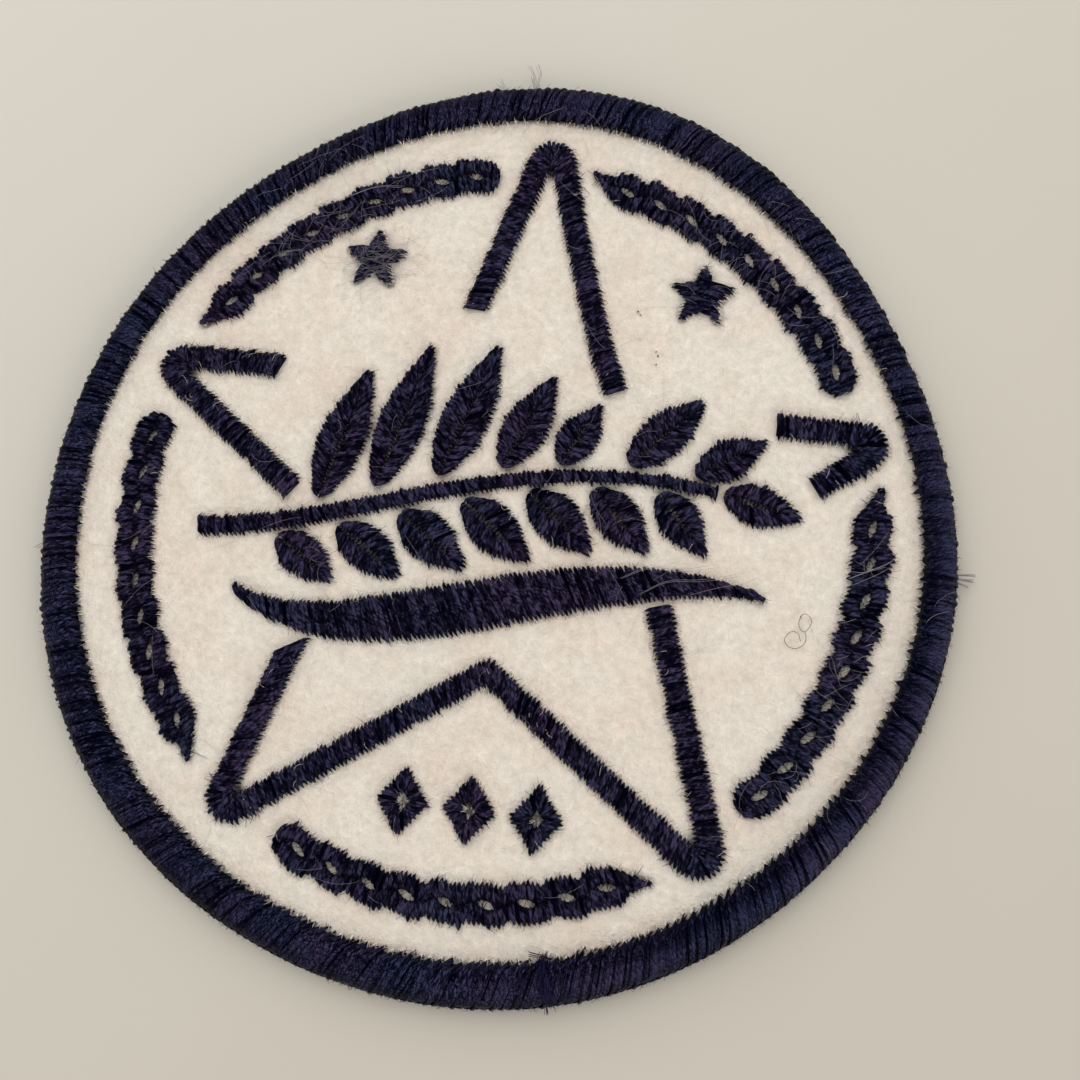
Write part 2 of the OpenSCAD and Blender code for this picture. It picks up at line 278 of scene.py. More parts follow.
def ivory_felt():
    """Pressed wool: matted fibres over pits and a fine grain, with painted shade where needle holes crowd."""
    material, tree, shader = new_material("ivory felt", 0.95, 0.12)
    place = object_place(tree)
    fibres = matted_fibres(tree, place)
    pits = noise_node(tree, place, 1500, 2, 0.7)
    grain = noise_node(tree, place, 3400)
    fine = math_node(tree, "MULTIPLY_ADD", grain, 0.7, math_node(tree, "MULTIPLY", fibres, 0.55))
    add_relief(tree, shader, math_node(tree, "MULTIPLY_ADD", pits, 1.3, fine), 0.75, 0.00016)
    mottle = use_effect(tree, wool_mottle_effect, Light=(0.94, 0.87, 0.775, 1), Warm=(0.915, 0.79, 0.685, 1),
                        Dull=(0.83, 0.77, 0.66, 1))
    # the grey follows the relief's pits: painted shade in the low places, and the fibres a paler tone
    shade = math_node(tree, "MULTIPLY_ADD", pits, 0.36, math_node(tree, "MULTIPLY_ADD", fibres, 0.17, 0.635))
    # painted shade: the felt is darkened by up to half where needle holes crowd
    crowd_unshaded = math_node(tree, "MULTIPLY_ADD", point_value(tree, "painted_crowd_shade"), -0.5, 1.0)
    shade = math_node(tree, "MULTIPLY", shade, crowd_unshaded)
    grey = tree.nodes.new("ShaderNodeCombineColor")
    for socket in grey.inputs[:3]:
        tree.links.new(shade, socket)
    shaded = blend_node(tree, 1.0, mottle.outputs["Color"], grey.outputs[0], "MULTIPLY")
    tree.links.new(shaded, shader.inputs["Base Color"])
    shader.inputs["Sheen Weight"].default_value = 0.12
    shader.inputs["Sheen Roughness"].default_value = 0.5
    return material


def felt_disc():
    """Rings of points 6, 12, 18 and so on, over the face and the back, joined round a thin rim."""
    ring_count = int(patch_r / felt_cell)
    rings = [np.zeros((1, 2))]
    for i in range(1, ring_count + 1):
        turn = np.arange(6 * i) * 2 * np.pi / (6 * i)
        reach = i / ring_count * (outer_edge(turn) - border_wrap)
        rings.append(around(turn, reach))
    flat = np.concatenate(rings)
    first = np.concatenate([[0], np.cumsum([len(r) for r in rings])])
    faces = []
    for i in range(1, ring_count + 1):
        inside = 6 * (i - 1) or 1
        for arm in range(6):
            for j in range(i):
                a = first[i] + (arm * i + j) % (6 * i)
                b = first[i] + (arm * i + j + 1) % (6 * i)
                c = first[i - 1] + (arm * (i - 1) + j) % inside
                faces.append((a, b, c))
                if j < i - 1:
                    faces.append((b, first[i - 1] + (arm * (i - 1) + j + 1) % inside, c))
    faces = np.array(faces)
    turn = np.arctan2(flat[:, 1], flat[:, 0])
    beyond = reach_of(flat) - inner_edge(turn)
    pinch = np.clip(beyond / pinch_run + 0.08, 0, 1)
    pinch = pinch_depth * pinch * pinch * (3 - 2 * pinch)
    face = np.column_stack([flat, felt_t - pinch])
    back = np.column_stack([flat, np.maximum(pinch, bobbin_room)])
    count = len(flat)
    rim = np.arange(first[ring_count], first[ring_count + 1])
    after = np.roll(rim, -1)
    sides = np.column_stack([rim, rim + count, after + count, after])
    return np.concatenate([face, back]), [faces, faces[:, ::-1] + count, sides], count


felt_points, felt_faces, felt_face_count = felt_disc()
for point in felt_points[:felt_face_count]:
    for waves, fade, height, level in felt_waves:
        point[2] += noise.fractal(Vector((point[0] * waves, point[1] * waves, level)), fade, 2.0, 3) * height
felt = make_mesh("felt", felt_points, felt_faces, ivory_felt())
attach(felt, "root")
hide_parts("felt_ground")


# Star outline
# Four satin strokes in navy thread: the needle goes from one edge of the stroke to the other and back over
# a low padding, so two threads meet in each hole and the edges are toothed. At a corner the stitches fan out.
thread_w = 0.34
thread_h = 0.17
# the corners of a thread's section stand out by this factor, so that its flat facets lie about at its size
facet_reach = 1.3
stitch_step = 0.185
stitch_rise = 0.6
# how far a stitch is pressed into the face, and how much deeper its ends go at the needle holes
stitch_sink = 0.02
hole_depth = 0.35
padding_dye = 0.12
star_half = 1.05
star_slant = 0.2
# degrees between the points round a corner, and the share by which stitches that crowd there stop short
corner_turn = 10
corner_short = 0.42
# x, y as shares of design_r, roundness of the corner, slant of the cut in degrees
star_paths = {
    "star_top": [[-0.117, 0.516, 0, -11], [0.018, 1.017, 1, 0], [0.112, 0.706, 0, 0], [0.190, 0.481, 0, 0],
                 [0.248, 0.342, 0, 0]],
    "star_left": [[-0.576, 0.326, 0, 22], [-0.914, 0.327, 1, 0], [-0.494, 0.024, 0, 0]],
    "star_right": [[0.633, 0.299, 0, 0], [0.922, 0.299, 1, 0], [0.735, 0.159, 0, 0]],
    "star_base": [[-0.431, -0.349, 0, -45], [-0.570, -0.793, 1, 0], [0.039, -0.354, 0, 0],
                  [0.623, -0.770, 1, 0], [0.411, -0.156, 0, 0]],
}
# x, y and the direction out of the stroke of every hole that the needle makes in the face
needle_holes = []
# both ends of the stitches that show on the back
back_stitches = []
# place, direction along the thread and direction away from it, wherever a broken filament stands up
hair_roots = []


def thread_ply():
    """Two plies twisted together: slanting ridges along the thread's run, with fine filaments in them."""
    effect, given, made = new_effect("thread ply", {"Twist": "Float", "Filaments": "Float"},
                                     {"Height": "Float", "Groove": "Float"})
    run = effect.nodes.new("ShaderNodeUVMap")
    run.uv_map = "thread_run"
    along, round_it = axes_of(effect, run.outputs[0])[:2]
    twisted = math_node(effect, "DIVIDE", along, given.outputs["Twist"])
    phase = math_node(effect, "ADD", math_node(effect, "MULTIPLY", round_it, 2.0), twisted)
    ridge = math_node(effect, "COSINE", math_node(effect, "MULTIPLY", phase, 2 * math.pi))
    ply = math_node(effect, "MULTIPLY_ADD", ridge, 0.5, 0.5)
    drawn = effect.nodes.new("ShaderNodeCombineXYZ")
    effect.links.new(math_node(effect, "MULTIPLY", along, 1.6), drawn.inputs[0])
    effect.links.new(math_node(effect, "MULTIPLY", phase, 2.6), drawn.inputs[1])
    filament = ramp(effect, noise_node(effect, drawn.outputs[0], 1.0), 5.0, -2.1)
    height = math_node(effect, "MULTIPLY_ADD", filament, given.outputs["Filaments"], ply)
    effect.links.new(height, made.inputs["Height"])
    # Groove is lighter on the ply ridges and darker between them: a painted shade for the dye and the bobbin
    # thread
    groove = math_node(effect, "MULTIPLY", filament, math_node(effect, "MULTIPLY_ADD", ply, 0.5, 0.5))
    effect.links.new(groove, made.inputs["Groove"])
    return effect


thread_ply_effect = thread_ply()


def thread_dye():
    """Navy dye: each thread takes it a little differently, has short paler dashes along it as painted sheen,
    and is darker in the grooves between its plies as painted shade."""
    effect, given, made = new_effect(
        "thread dye", {"Deep": "Color", "Blue": "Color", "Violet": "Color", "Groove": "Float"},
        {"Color": "Color"})
    dye = point_value(effect, "dye")
    cloud = noise_node(effect, object_place(effect), 160, 2, 0.5)
    tone = blend_node(effect, ramp(effect, cloud, 3.0, -1.0), given.outputs["Blue"], given.outputs["Violet"])
    run = effect.nodes.new("ShaderNodeUVMap")
    run.uv_map = "thread_run"
    spans = stretch_node(effect, run.outputs[0], (1.1, 2.2, 0), math_node(effect, "MULTIPLY", dye, 90.0))
    # painted sheen: paler dashes along each thread stand in for its highlights
    painted_sheen = ramp(effect, noise_node(effect, spans, 1.0), 5.0, -2.1)
    # painted shade: darker in the grooves between the plies
    ply_groove_shade = math_node(effect, "MULTIPLY_ADD", given.outputs["Groove"], 1.5, 0.2)
    lit = math_node(effect, "MULTIPLY", math_node(effect, "MULTIPLY", dye, ply_groove_shade),
                    math_node(effect, "MULTIPLY_ADD", painted_sheen, 1.9, 0.12), clamp=True)
    effect.links.new(blend_node(effect, lit, given.outputs["Deep"], tone), made.inputs["Color"])
    return effect


thread_dye_effect = thread_dye()


def navy_thread(name, twist, deep, blue, violet, gloss=0.05, roughness=0.38, depth=0.00006):
    """Polyester embroidery thread: dark dye with painted sheen and painted shade in it, a soft gloss along
    the thread, and the twist in bump.
    """
    material, tree, shader = new_material(name, roughness, gloss)
    ply = use_effect(tree, thread_ply_effect, Twist=twist, Filaments=1.0)
    dye = use_effect(tree, thread_dye_effect, Deep=(*deep, 1), Blue=(*blue, 1), Violet=(*violet, 1))
    tree.links.new(ply.outputs["Groove"], dye.inputs["Groove"])
    tree.links.new(dye.outputs["Color"], shader.inputs["Base Color"])
    add_relief(tree, shader, ply.outputs["Height"], 0.7, depth)
    shader.inputs["Specular Tint"].default_value = (0.6, 0.65, 1, 1)
    return material


stitch_thread = navy_thread(
    "navy stitching thread", twist=0.7, deep=(0.0005, 0.0004, 0.0044), blue=(0.038, 0.040, 0.088),
    violet=(0.058, 0.040, 0.092))


def tube_faces(tubes, steps, facets):
    """Side quads and end caps of closed tubes whose points go ring after ring."""
    i = np.arange(facets)
    j = (i + 1) % facets
    k = np.arange(steps - 1)[:, None] * facets
    tube = np.stack([k + i, k + j, k + facets + j, k + facets + i], axis=-1).reshape(-1, 4)
    start = np.arange(tubes)[:, None, None] * steps * facets
    caps = np.concatenate([start[:, 0] + i[::-1], start[:, 0] + (steps - 1) * facets + i])
    return (start + tube).reshape(-1, 4), caps


def unit(rows):
    """Each direction in the last axis at a length of one."""
    return rows / (np.linalg.norm(rows, axis=-1, keepdims=True) + 1e-12)


def left_of(way):
    """The level direction a quarter turn to the left of another."""
    return np.stack([-way[..., 1], way[..., 0]], axis=-1)


def add_hair_roots(paths, ahead, over, hairs):
    """Choose where broken filaments stand up from the upper side of threads."""
    threads, steps = paths.shape[:2]
    for _ in range(hairs):
        k = np.arange(threads), dice.integers(2, steps - 3, threads)
        on = paths[k] + (paths[k[0], k[1] + 1] - paths[k]) * dice.uniform(0, 1, (threads, 1))
        roots = np.column_stack([on + over[k] * thread_h / 2, ahead[k], over[k]])
        hair_roots.extend(roots[over[k][:, 2] > 0.2].tolist())


def thread_solids(paths, side, half_w, half_h, facets=4, slim=(0.6,), shade=(0.5, 0.13), hairs=0, tone_and_painted_light=1.0):
    """Closed solids round rows of points (threads, points, 3). side is the level direction across each
    thread, slim how thin it is at its first few points and, the other way round, at its last, shade its usual
    dye and how far that varies, hairs how many broken filaments stand up from each thread, and
    tone_and_painted_light a factor on its dye at each point: the bobbin thread's white and navy spans, and
    painted light and shade on the border's slopes."""
    paths = np.asarray(paths, dtype=float)
    threads, steps = paths.shape[:2]
    ahead = unit(np.gradient(paths, axis=1))
    side = np.broadcast_to(side, paths.shape)
    over = unit(np.cross(ahead, side))
    add_hair_roots(paths, ahead, over, hairs)
    ends = np.ones(steps)
    ends[:len(slim)] = slim
    ends[-len(slim):] = slim[::-1]
    turn = (np.arange(facets) + 0.5) * 2 * np.pi / facets
    ring = (np.cos(turn)[None, None, :, None] * half_w * side[:, :, None, :]
            + np.sin(turn)[None, None, :, None] * half_h * over[:, :, None, :]) * facet_reach
    points = paths[:, :, None, :] + ring * ends[None, :, None, None]
    sides, caps = tube_faces(threads, steps, facets)
    strides = np.linalg.norm(np.diff(paths, axis=1), axis=2)
    length = np.concatenate([np.zeros((threads, 1)), np.cumsum(strides, axis=1)], axis=1)
    length = length + dice.uniform(0, 1, (threads, 1))
    near, far = length[:, :-1, None], length[:, 1:, None]
    i = np.arange(facets)
    round_a, round_b = (i / facets)[None, None, :], ((i + 1) / facets)[None, None, :]
    corners = ((near, round_a), (near, round_b), (far, round_b), (far, round_a))
    run = np.stack([np.stack(np.broadcast_arrays(u, v), axis=-1) for u, v in corners], axis=3).reshape(-1, 2)
    dye = np.clip(dice.normal(*shade, threads), 0, 1)[:, None] * np.broadcast_to(tone_and_painted_light, (threads, steps))
    dye = np.repeat(dye.reshape(-1), facets)
    return points.reshape(-1, 3), sides, caps, run, dye


def stroke_lift(width):
    """How high a stroke stands as a share of a wide one's height: thread heaps up less on a narrow one."""
    return np.minimum(1.0, 0.45 + width / 3.2)


def padding(left, right, reach=(0.74, 0.74)):
    """The underlay between two edges, drawn in from them: one low closed roll of thread in its own shade."""
    across = np.array([-reach[0], -0.56, -0.2, 0.2, 0.56, reach[1], reach[1], -reach[0]])
    tall = np.array([0.22, 0.54, 0.64, 0.64, 0.54, 0.22, -0.3, -0.3])
    half = (right - left)[:, None, :] / 2
    flat = (left + right)[:, None, :] / 2 + half * across[None, :, None]
    lift = stroke_lift(2 * np.linalg.norm(half, axis=2)) * stitch_rise
    points = np.dstack([flat, felt_t + lift * tall[None, :]]).reshape(-1, 3)
    sides, caps = tube_faces(1, len(left), len(across))
    return points, sides, caps, np.zeros((sides.size, 2)), np.full(len(points), padding_dye)


def stitched_piece(name, groups, material, node=None):
    """One piece from groups of thread solids, on the body and in place of its CAD node."""
    first = np.cumsum([0] + [len(group[0]) for group in groups])
    sides = np.concatenate([group[1] + start for group, start in zip(groups, first)])
    caps = {}
    for group, start in zip(groups, first):
        caps.setdefault(group[2].shape[1], []).append(group[2] + start)
    cap_faces = [np.concatenate(ends) for ends in caps.values()]
    run = np.concatenate([group[3] for group in groups] + [np.zeros((sum(f.size for f in cap_faces), 2))])
    points = np.concatenate([group[0] for group in groups])
    dye = np.concatenate([group[4] for group in groups])
    piece = make_mesh(name, points, [sides] + cap_faces, material, run, dye)
    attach(piece, "root")
    if node:
        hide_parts(node)


def navy_stitches(node, groups):
    """Stitches in navy thread, in place of a CAD node and named after it."""
    stitched_piece(node + "_stitches", groups, stitch_thread, node)


def level_side(first, last):
    """The level direction across threads that run from first to last."""
    along = unit(last - first)
    return np.column_stack([left_of(along), np.zeros(len(along))])[:, None, :]


def add_holes(places, outward):
    """Note where the needle goes in, and the direction out of the stroke there."""
    needle_holes.extend(np.column_stack([places, outward]).tolist())


def satin_threads(left, right, pace, step=stitch_step, slant=0.0, ragged=(0.07, 0.07), full=3.6, short=None):
    """Threads to and fro between two edges. left and right are points along the edges, pace how far along
    the stroke each pair lies, slant how far ahead the right hole is, full how square the crown is, and short
    the share by which crowded stitches stop short of an edge, as (left, right) for each pair."""
    total = pace[-1]
    count = max(4, int(round(total / step)))
    at = np.arange(count + 1) * total / count
    at = np.clip(at + dice.normal(0, 0.12 * step, count + 1), 0, total)
    on_left = np.arange(count + 1) % 2 == 0
    lean = np.where(on_left, -slant / 2, slant / 2)
    reach = np.clip(at + lean, 0, total)
    hole_l = np.column_stack([np.interp(reach, pace, left[:, i]) for i in (0, 1)])
    hole_r = np.column_stack([np.interp(reach, pace, right[:, i]) for i in (0, 1)])
    across = hole_r - hole_l
    wide = np.linalg.norm(across, axis=1, keepdims=True)
    across /= wide + 1e-9
    out = dice.normal(0.5, 1, (count + 1, 1)) * np.where(on_left, ragged[0], ragged[1])[:, None]
    if short is not None:
        every_other = np.arange(count + 1) // 2 % 2
        for side, column in ((on_left, 0), (~on_left, 1)):
            cut = np.interp(at, pace, short[:, column]) * every_other * dice.uniform(0.6, 1.2, count + 1)
            out = out - (cut * side)[:, None] * wide
    outward = np.where(on_left[:, None], -across, across)
    holes = np.where(on_left[:, None], hole_l, hole_r) + outward * out
    add_holes(holes, outward)
    first, last = holes[:-1], holes[1:]
    back_stitches.extend(np.stack([first, last], axis=1)[::2].tolist())
    span = np.linalg.norm(last - first, axis=1)
    near, far = np.minimum(0.10, 0.15 / span), np.minimum(0.27, 0.38 / span)
    u = np.stack([0 * span, 0 * span, near, far, 1 - far, 1 - near, 1 + 0 * span, 1 + 0 * span], axis=1)
    rising = np.maximum(u, [0, 0, 0.07, 0.22, 1, 1, 1, 1])
    falling = np.minimum(u, [0, 0, 0, 0, 0.78, 0.93, 1, 1])
    crown = domed(np.where(u < 0.5, rising, falling), full)
    lift = stroke_lift(span)[:, None] * dice.normal(1, 0.05, (len(span), 1))
    z = felt_t - stitch_sink + (stitch_rise - thread_h / 2) * lift * crown
    z[:, [0, -1]] -= hole_depth
    flat = first[:, None, :] + (last - first)[:, None, :] * u[:, :, None]
    bow = dice.normal(0, 0.03, (len(span), 1)) * np.sin(np.pi * u)
    side = level_side(first, last)
    flat = flat + bow[:, :, None] * side[:, :, :2]
    return thread_solids(np.dstack([flat, z]), side, thread_w / 2, thread_h / 2, slim=(0.12, 0.3, 0.6, 0.96),
                         shade=(0.5, 0.3), hairs=1)


def domed(u, full):
    """Height of a stitch at the shares u of its run, as a share of its top: a higher full is squarer."""
    return (1 - np.abs(2 * u - 1) ** full) ** 0.6


def along_edges(left, right):
    """How far along the stroke each pair of edge points lies: the longer edge counts most."""
    step_l = np.linalg.norm(np.diff(left, axis=0), axis=1)
    step_r = np.linalg.norm(np.diff(right, axis=0), axis=1)
    step = 0.8 * np.maximum(step_l, step_r) + 0.2 * np.minimum(step_l, step_r)
    return np.concatenate([[0], np.cumsum(step)])


def satin_stroke(left, right, **finish):
    """The threads of a satin stroke between two edges, and the padding under them."""
    return [satin_threads(left, right, along_edges(left, right), **finish), padding(left, right)]


def stroke_end(at, ahead, half, slant):
    """Left and right corners of a stroke's end, cut at a slant in degrees."""
    across = left_of(ahead) * half
    slanted = ahead * half * math.tan(math.radians(slant))
    return at + across + slanted, at - across - slanted


def star_edges(path, half):
    """Left and right edge points of a stroke with rounded corners, and how crowded each edge is."""
    at = design_at + np.array([row[:2] for row in path]) * design_r
    ahead = np.diff(at, axis=0)
    ahead /= np.linalg.norm(ahead, axis=1, keepdims=True)
    edges = [stroke_end(at[0], ahead[0], half, path[0][3])]
    crowd = [(0, 0)]
    for i in range(1, len(path) - 1):
        a, b, roundness = ahead[i - 1], ahead[i], path[i][2]
        bend = math.atan2(a[0] * b[1] - a[1] * b[0], a @ b)
        side = 1 if bend > 0 else -1
        inward = (b - a) / np.linalg.norm(b - a)
        reach = half / math.cos(bend / 2)
        inner = at[i] + inward * (reach + roundness * 0.5)
        centre = at[i] + inward * reach * roundness
        start = math.atan2(a[1], a[0]) - side * math.pi / 2
        steps = max(1, round(abs(math.degrees(bend)) / corner_turn))
        for k in range(steps + 1):
            turn = start + bend * k / steps
            outer = centre + half * (1 + roundness) * np.array([math.cos(turn), math.sin(turn)])
            inside = inner + (outer - inner) * 0.04
            packed = corner_short * math.sin(math.pi * k / steps) ** 0.5 if abs(bend) > 0.7 else 0
            edges.append((inside, outer)[::side])
            crowd.append((packed, 0)[::side])
    edges.append(stroke_end(at[-1], ahead[-1], half, path[-1][3]))
    crowd.append((0, 0))
    left, right = np.array(edges).transpose(1, 0, 2)
    return left, right, np.array(crowd)


for star_part, star_path in star_paths.items():
    left, right, crowd = star_edges(star_path, star_half)
    navy_stitches(star_part, satin_stroke(left, right, slant=star_slant, short=crowd))


# Chain arcs
# Five arcs of chain inside the rim: two strands of satin side by side, which part round a slit in each link
# and let the felt show. Each link leans a little. An arc is pointed at one end and blunt at the other.
chain_r = 30.55
chain_half = 1.60
chain_step = 0.19
chain_waist = 0.22
# distance between the points along its edges
chain_point_step = 0.12
link_pitch = 3.1
link_lean = 0.13
slit_half = [0.72, 0.36]
slit_lean = 0.28
# how far the stitches lap over a slit's edge
slit_lap = 0.06
chain_tip = 1.7
blunt_end = 0.5
# direction of the pointed tip and of the blunt end, in degrees
chain_arcs = {
    "chain_upper_left": (152.7, 97.1),
    "chain_upper_right": (81.9, 26.7),
    "chain_right": (11.2, -42.4),
    "chain_base": (-58.7, -116.6),
    "chain_left": (-134.4, -191.5),
}


def chain_threads(tip_turn, end_turn):
    """Both strands of an arc. run is how far clockwise a pair of edge points lies from the first link, and
    along how far it lies from its own link's middle."""
    first_turn = math.radians(tip_turn) - chain_tip / chain_r
    links_l = (math.radians(tip_turn - end_turn)) * chain_r - chain_tip - blunt_end
    pitch = links_l / round(links_l / link_pitch)
    run = np.arange(-chain_tip, links_l + blunt_end, chain_point_step)
    beyond = np.where(run > 0, pitch / 2, -pitch / 2)
    along = np.where((run > 0) & (run < links_l), run % pitch - pitch / 2, beyond)
    share = along / (pitch / 2)
    width_at = [-chain_tip, 0, 0.8, links_l - 0.3, links_l, links_l + blunt_end]
    width = np.interp(run, width_at, [0.06, 0.66, 1, 1, 0.88, 0.5])
    middle = np.interp(run, [-chain_tip, 0], [0.9, 0])
    middle -= slit_lean * np.interp(np.abs(share), [0, 0.6, 1], [0, 0.6, 0]) * np.sign(share) * pitch / 2
    outer = (chain_half - link_lean * along - chain_waist * share ** 4) * width
    inner = (chain_half + link_lean * along - chain_waist * share ** 4) * width
    slit = slit_half[1] * np.sqrt(np.clip(1 - (along / slit_half[0]) ** 2, 0, 1)) - slit_lap
    turn = first_turn - run / chain_r
    reaches = (middle * (run < 0) + outer, middle + slit, middle - slit, middle * (run < 0) - inner)
    edges = [design_at + around(turn, chain_r + reach) for reach in reaches]
    pace = run - run[0]
    outer_strand, inner_strand = edges[:2], edges[2:]
    return [satin_threads(*outer_strand, pace, chain_step, ragged=(0.09, 0.05), full=3.0),
            satin_threads(*inner_strand, pace, chain_step, ragged=(0.05, 0.09), full=3.0),
            padding(*outer_strand, reach=(0.74, 0.98)),
            padding(*inner_strand, reach=(0.98, 0.74))]


for chain_name, ends in chain_arcs.items():
    navy_stitches(chain_name, chain_threads(*ends))


# Small stars
# Two small filled stars. Each is stitched straight across in rows that lie side by side.
small_star_r = 2.85
small_star_waist = 0.47
small_star_row = 0.17
# x, y as shares of design_r, and the heading of the stitches in degrees
small_stars = {"small_star_left": (-0.383, 0.620, 14), "small_star_right": (0.424, 0.599, -12)}


def star_rows(lie):
    """Both ends of each row of stitches across a five-pointed star, at the heading lie in degrees."""
    turned = Matrix.Rotation(-math.radians(lie), 2)
    back = Matrix.Rotation(math.radians(lie), 2)
    corners = []
    for i in range(10):
        a = math.radians(90 - 36 * i)
        reach = small_star_r * (1 if i % 2 == 0 else small_star_waist)
        corners.append(turned @ Vector((reach * math.cos(a), reach * math.sin(a))))
    first, last = [], []
    y = -small_star_r
    while y < small_star_r:
        y += small_star_row * (1 + float(dice.normal(0, 0.08)))
        crossings = []
        for a, b in zip(corners, corners[1:] + corners[:1]):
            if (a.y - y) * (b.y - y) < 0:
                crossings.append(a.x + (b.x - a.x) * (y - a.y) / (b.y - a.y))
        crossings.sort()
        for near, far in zip(crossings[::2], crossings[1::2]):
            if far - near > 0.10:
                ragged = dice.normal(0.03, 0.06, 4)
                first.append(tuple(back @ Vector((near - ragged[0], y + ragged[2]))))
                last.append(tuple(back @ Vector((far + ragged[1], y + ragged[3]))))
    return np.array(first), np.array(last)


def star_fill_threads(middle, lie):
    """Threads from edge to edge of a small star."""
    first, last = [middle + ends for ends in star_rows(lie)]
    outward = (last - first) / np.linalg.norm(last - first, axis=1, keepdims=True)
    add_holes(first, -outward)
    add_holes(last, outward)
    back_stitches.extend(np.stack([first, last], axis=1).tolist())
    u = np.array([0.0, 0.0, 0.08, 0.25, 0.5, 0.75, 0.92, 1.0, 1.0])
    span = np.linalg.norm(last - first, axis=1)
    rise = (0.26 + 0.07 * span)[:, None]
    z = felt_t - stitch_sink + rise * domed(u, 2.6)[None, :] * dice.normal(1, 0.08, (len(span), 1))
    z[:, [0, -1]] -= hole_depth
    flat = first[:, None, :] + (last - first)[:, None, :] * u[None, :, None]
    fine = np.clip(span / 0.9, 0.25, 1)[:, None, None, None]
    return thread_solids(np.dstack([flat, z]), level_side(first, last), thread_w / 2 * fine,
                         thread_h / 2 * fine, slim=(0.2, 0.42, 0.9), shade=(0.5, 0.2), hairs=1)


for small_star, (x, y, lie) in small_stars.items():
    navy_stitches(small_star, [star_fill_threads(design_at + np.array([x, y]) * design_r, lie)])


# Laurel sprig
# A sprig across the middle: a satin stem that thins to its tip, and fifteen leaves. A leaf is two rows of
# slanting satin that meet in a groove along its midrib.
stem_curve = design_at + np.array([[-0.71, -0.09], [-0.34, -0.06], [0.03, 0.20], [0.515, 0.125]]) * design_r
stem_w = 1.7
stem_taper = 0.6
stem_slant = 0.3
leaf_w = 4.2
leaf_gap = 0.4
# half the width of the groove along a midrib
rib_half = 0.05
# place along the stem, side, length as a share of design_r, lean in degrees, width share
leaf_table = [
    [0.258, 1, 0.350, 60, 1], [0.170, -1, 0.180, 46, 0.88], [0.378, 1, 0.380, 59, 1],
    [0.295, -1, 0.205, 50, 0.92], [0.500, 1, 0.360, 56, 1], [0.420, -1, 0.215, 52, 0.96],
    [0.622, 1, 0.260, 54, 0.94], [0.545, -1, 0.220, 52, 0.96], [0.728, 1, 0.175, 54, 0.84],
    [0.670, -1, 0.215, 50, 0.94], [0.848, 1, 0.240, 46, 0.94], [0.790, -1, 0.205, 50, 0.90],
    [0.958, 1, 0.185, 38, 0.84], [0.905, -1, 0.185, 46, 0.86], [1.000, 1, 0.190, -4, 0.84],
]
# share of the leaf's length, share of its half width
leaf_outline = np.array([[0, 0.12], [0.12, 0.52], [0.28, 0.88], [0.45, 1], [0.65, 0.86], [0.84, 0.46],
                         [1, 0.07]])


def cubic(p, t):
    """Points of a cubic curve at the shares t of its run."""
    t = np.asarray(t)[..., None]
    return p[0] * (1 - t) ** 3 + 3 * p[1] * t * (1 - t) ** 2 + 3 * p[2] * t * t * (1 - t) + p[3] * t ** 3


def cubic_heading(p, t):
    """Directions of a cubic curve at the shares t of its run."""
    t = np.asarray(t)[..., None]
    ahead = (p[1] - p[0]) * (1 - t) ** 2 + 2 * (p[2] - p[1]) * t * (1 - t) + (p[3] - p[2]) * t * t
    return ahead / np.linalg.norm(ahead, axis=-1, keepdims=True)


def curved_edges(curve, t, half):
    """Left and right edges of a stroke of half widths half along a cubic curve."""
    across = left_of(cubic_heading(curve, t)) * half[:, None]
    return cubic(curve, t) + across, cubic(curve, t) - across


def stem_half(place):
    """Half the stem's width at a share of its run."""
    return stem_w / 2 * (1 - (1 - stem_taper) * place)


def leaf_threads(place, side, length, lean, wide):
    """Both rows of satin of a leaf, and the padding under each."""
    stem_ahead = cubic_heading(stem_curve, place)
    turn = math.atan2(stem_ahead[1], stem_ahead[0]) + side * math.radians(lean)
    beside_stem = left_of(stem_ahead) * side * (stem_half(place) + leaf_gap)
    clear = stem_ahead * leaf_gap if place == 1 else beside_stem
    foot = cubic(stem_curve, place) + clear
    ahead = np.array([math.cos(turn), math.sin(turn)])
    across = left_of(ahead)
    long = length * design_r
    share = np.linspace(0, 1, 25)
    rib_at = 0.03 + 0.80 * share
    edge_at = 0.07 + 0.93 * share
    half = leaf_w / 2 * wide * np.interp(edge_at, leaf_outline[:, 0], leaf_outline[:, 1])
    groups = []
    for hand in (1, -1):
        rib = foot + np.outer(rib_at * long, ahead) + across * hand * rib_half
        edge = foot + np.outer(edge_at * long, ahead) + np.outer(half * hand, across)
        groups += satin_stroke(rib, edge, ragged=(0.05, 0.08), full=2.6)
    return groups


t = np.linspace(0, 1, 60)
navy_stitches("laurel_stem", satin_stroke(*curved_edges(stem_curve, t, stem_half(t)), slant=stem_slant))
for number, row in enumerate(leaf_table, 1):
    navy_stitches(f"leaf_{number}", leaf_threads(*row))


# Wave
# A broad stroke under the sprig that tapers to a point at both ends: one run of long slanting satin
# stitches over a padding.
wave_shares = np.array([[-0.60, -0.225], [-0.28, -0.415], [0.18, -0.030], [0.65, -0.110]])
wave_curve = design_at + wave_shares * design_r
wave_w = 4.3
wave_point = 0.08
wave_slant = 1.1
t = np.linspace(0, 1, 90)
wave_half = wave_w / 2 * (wave_point + (1 - wave_point) * np.sin(np.pi * t) ** 0.9)
navy_stitches("wave", satin_stroke(*curved_edges(wave_curve, t, wave_half), slant=wave_slant))


# Lozenges
# A row of three open lozenges below the star's notch. Each is a closed stroke of satin that turns at its
# corners.
lozenge_w, lozenge_h, lozenge_stroke, lozenge_gap = 4.5, 5.7, 1.3, 0.9
lozenge_step = 0.19
lozenge_row_at = design_at + np.array([0.042, -0.669]) * design_r


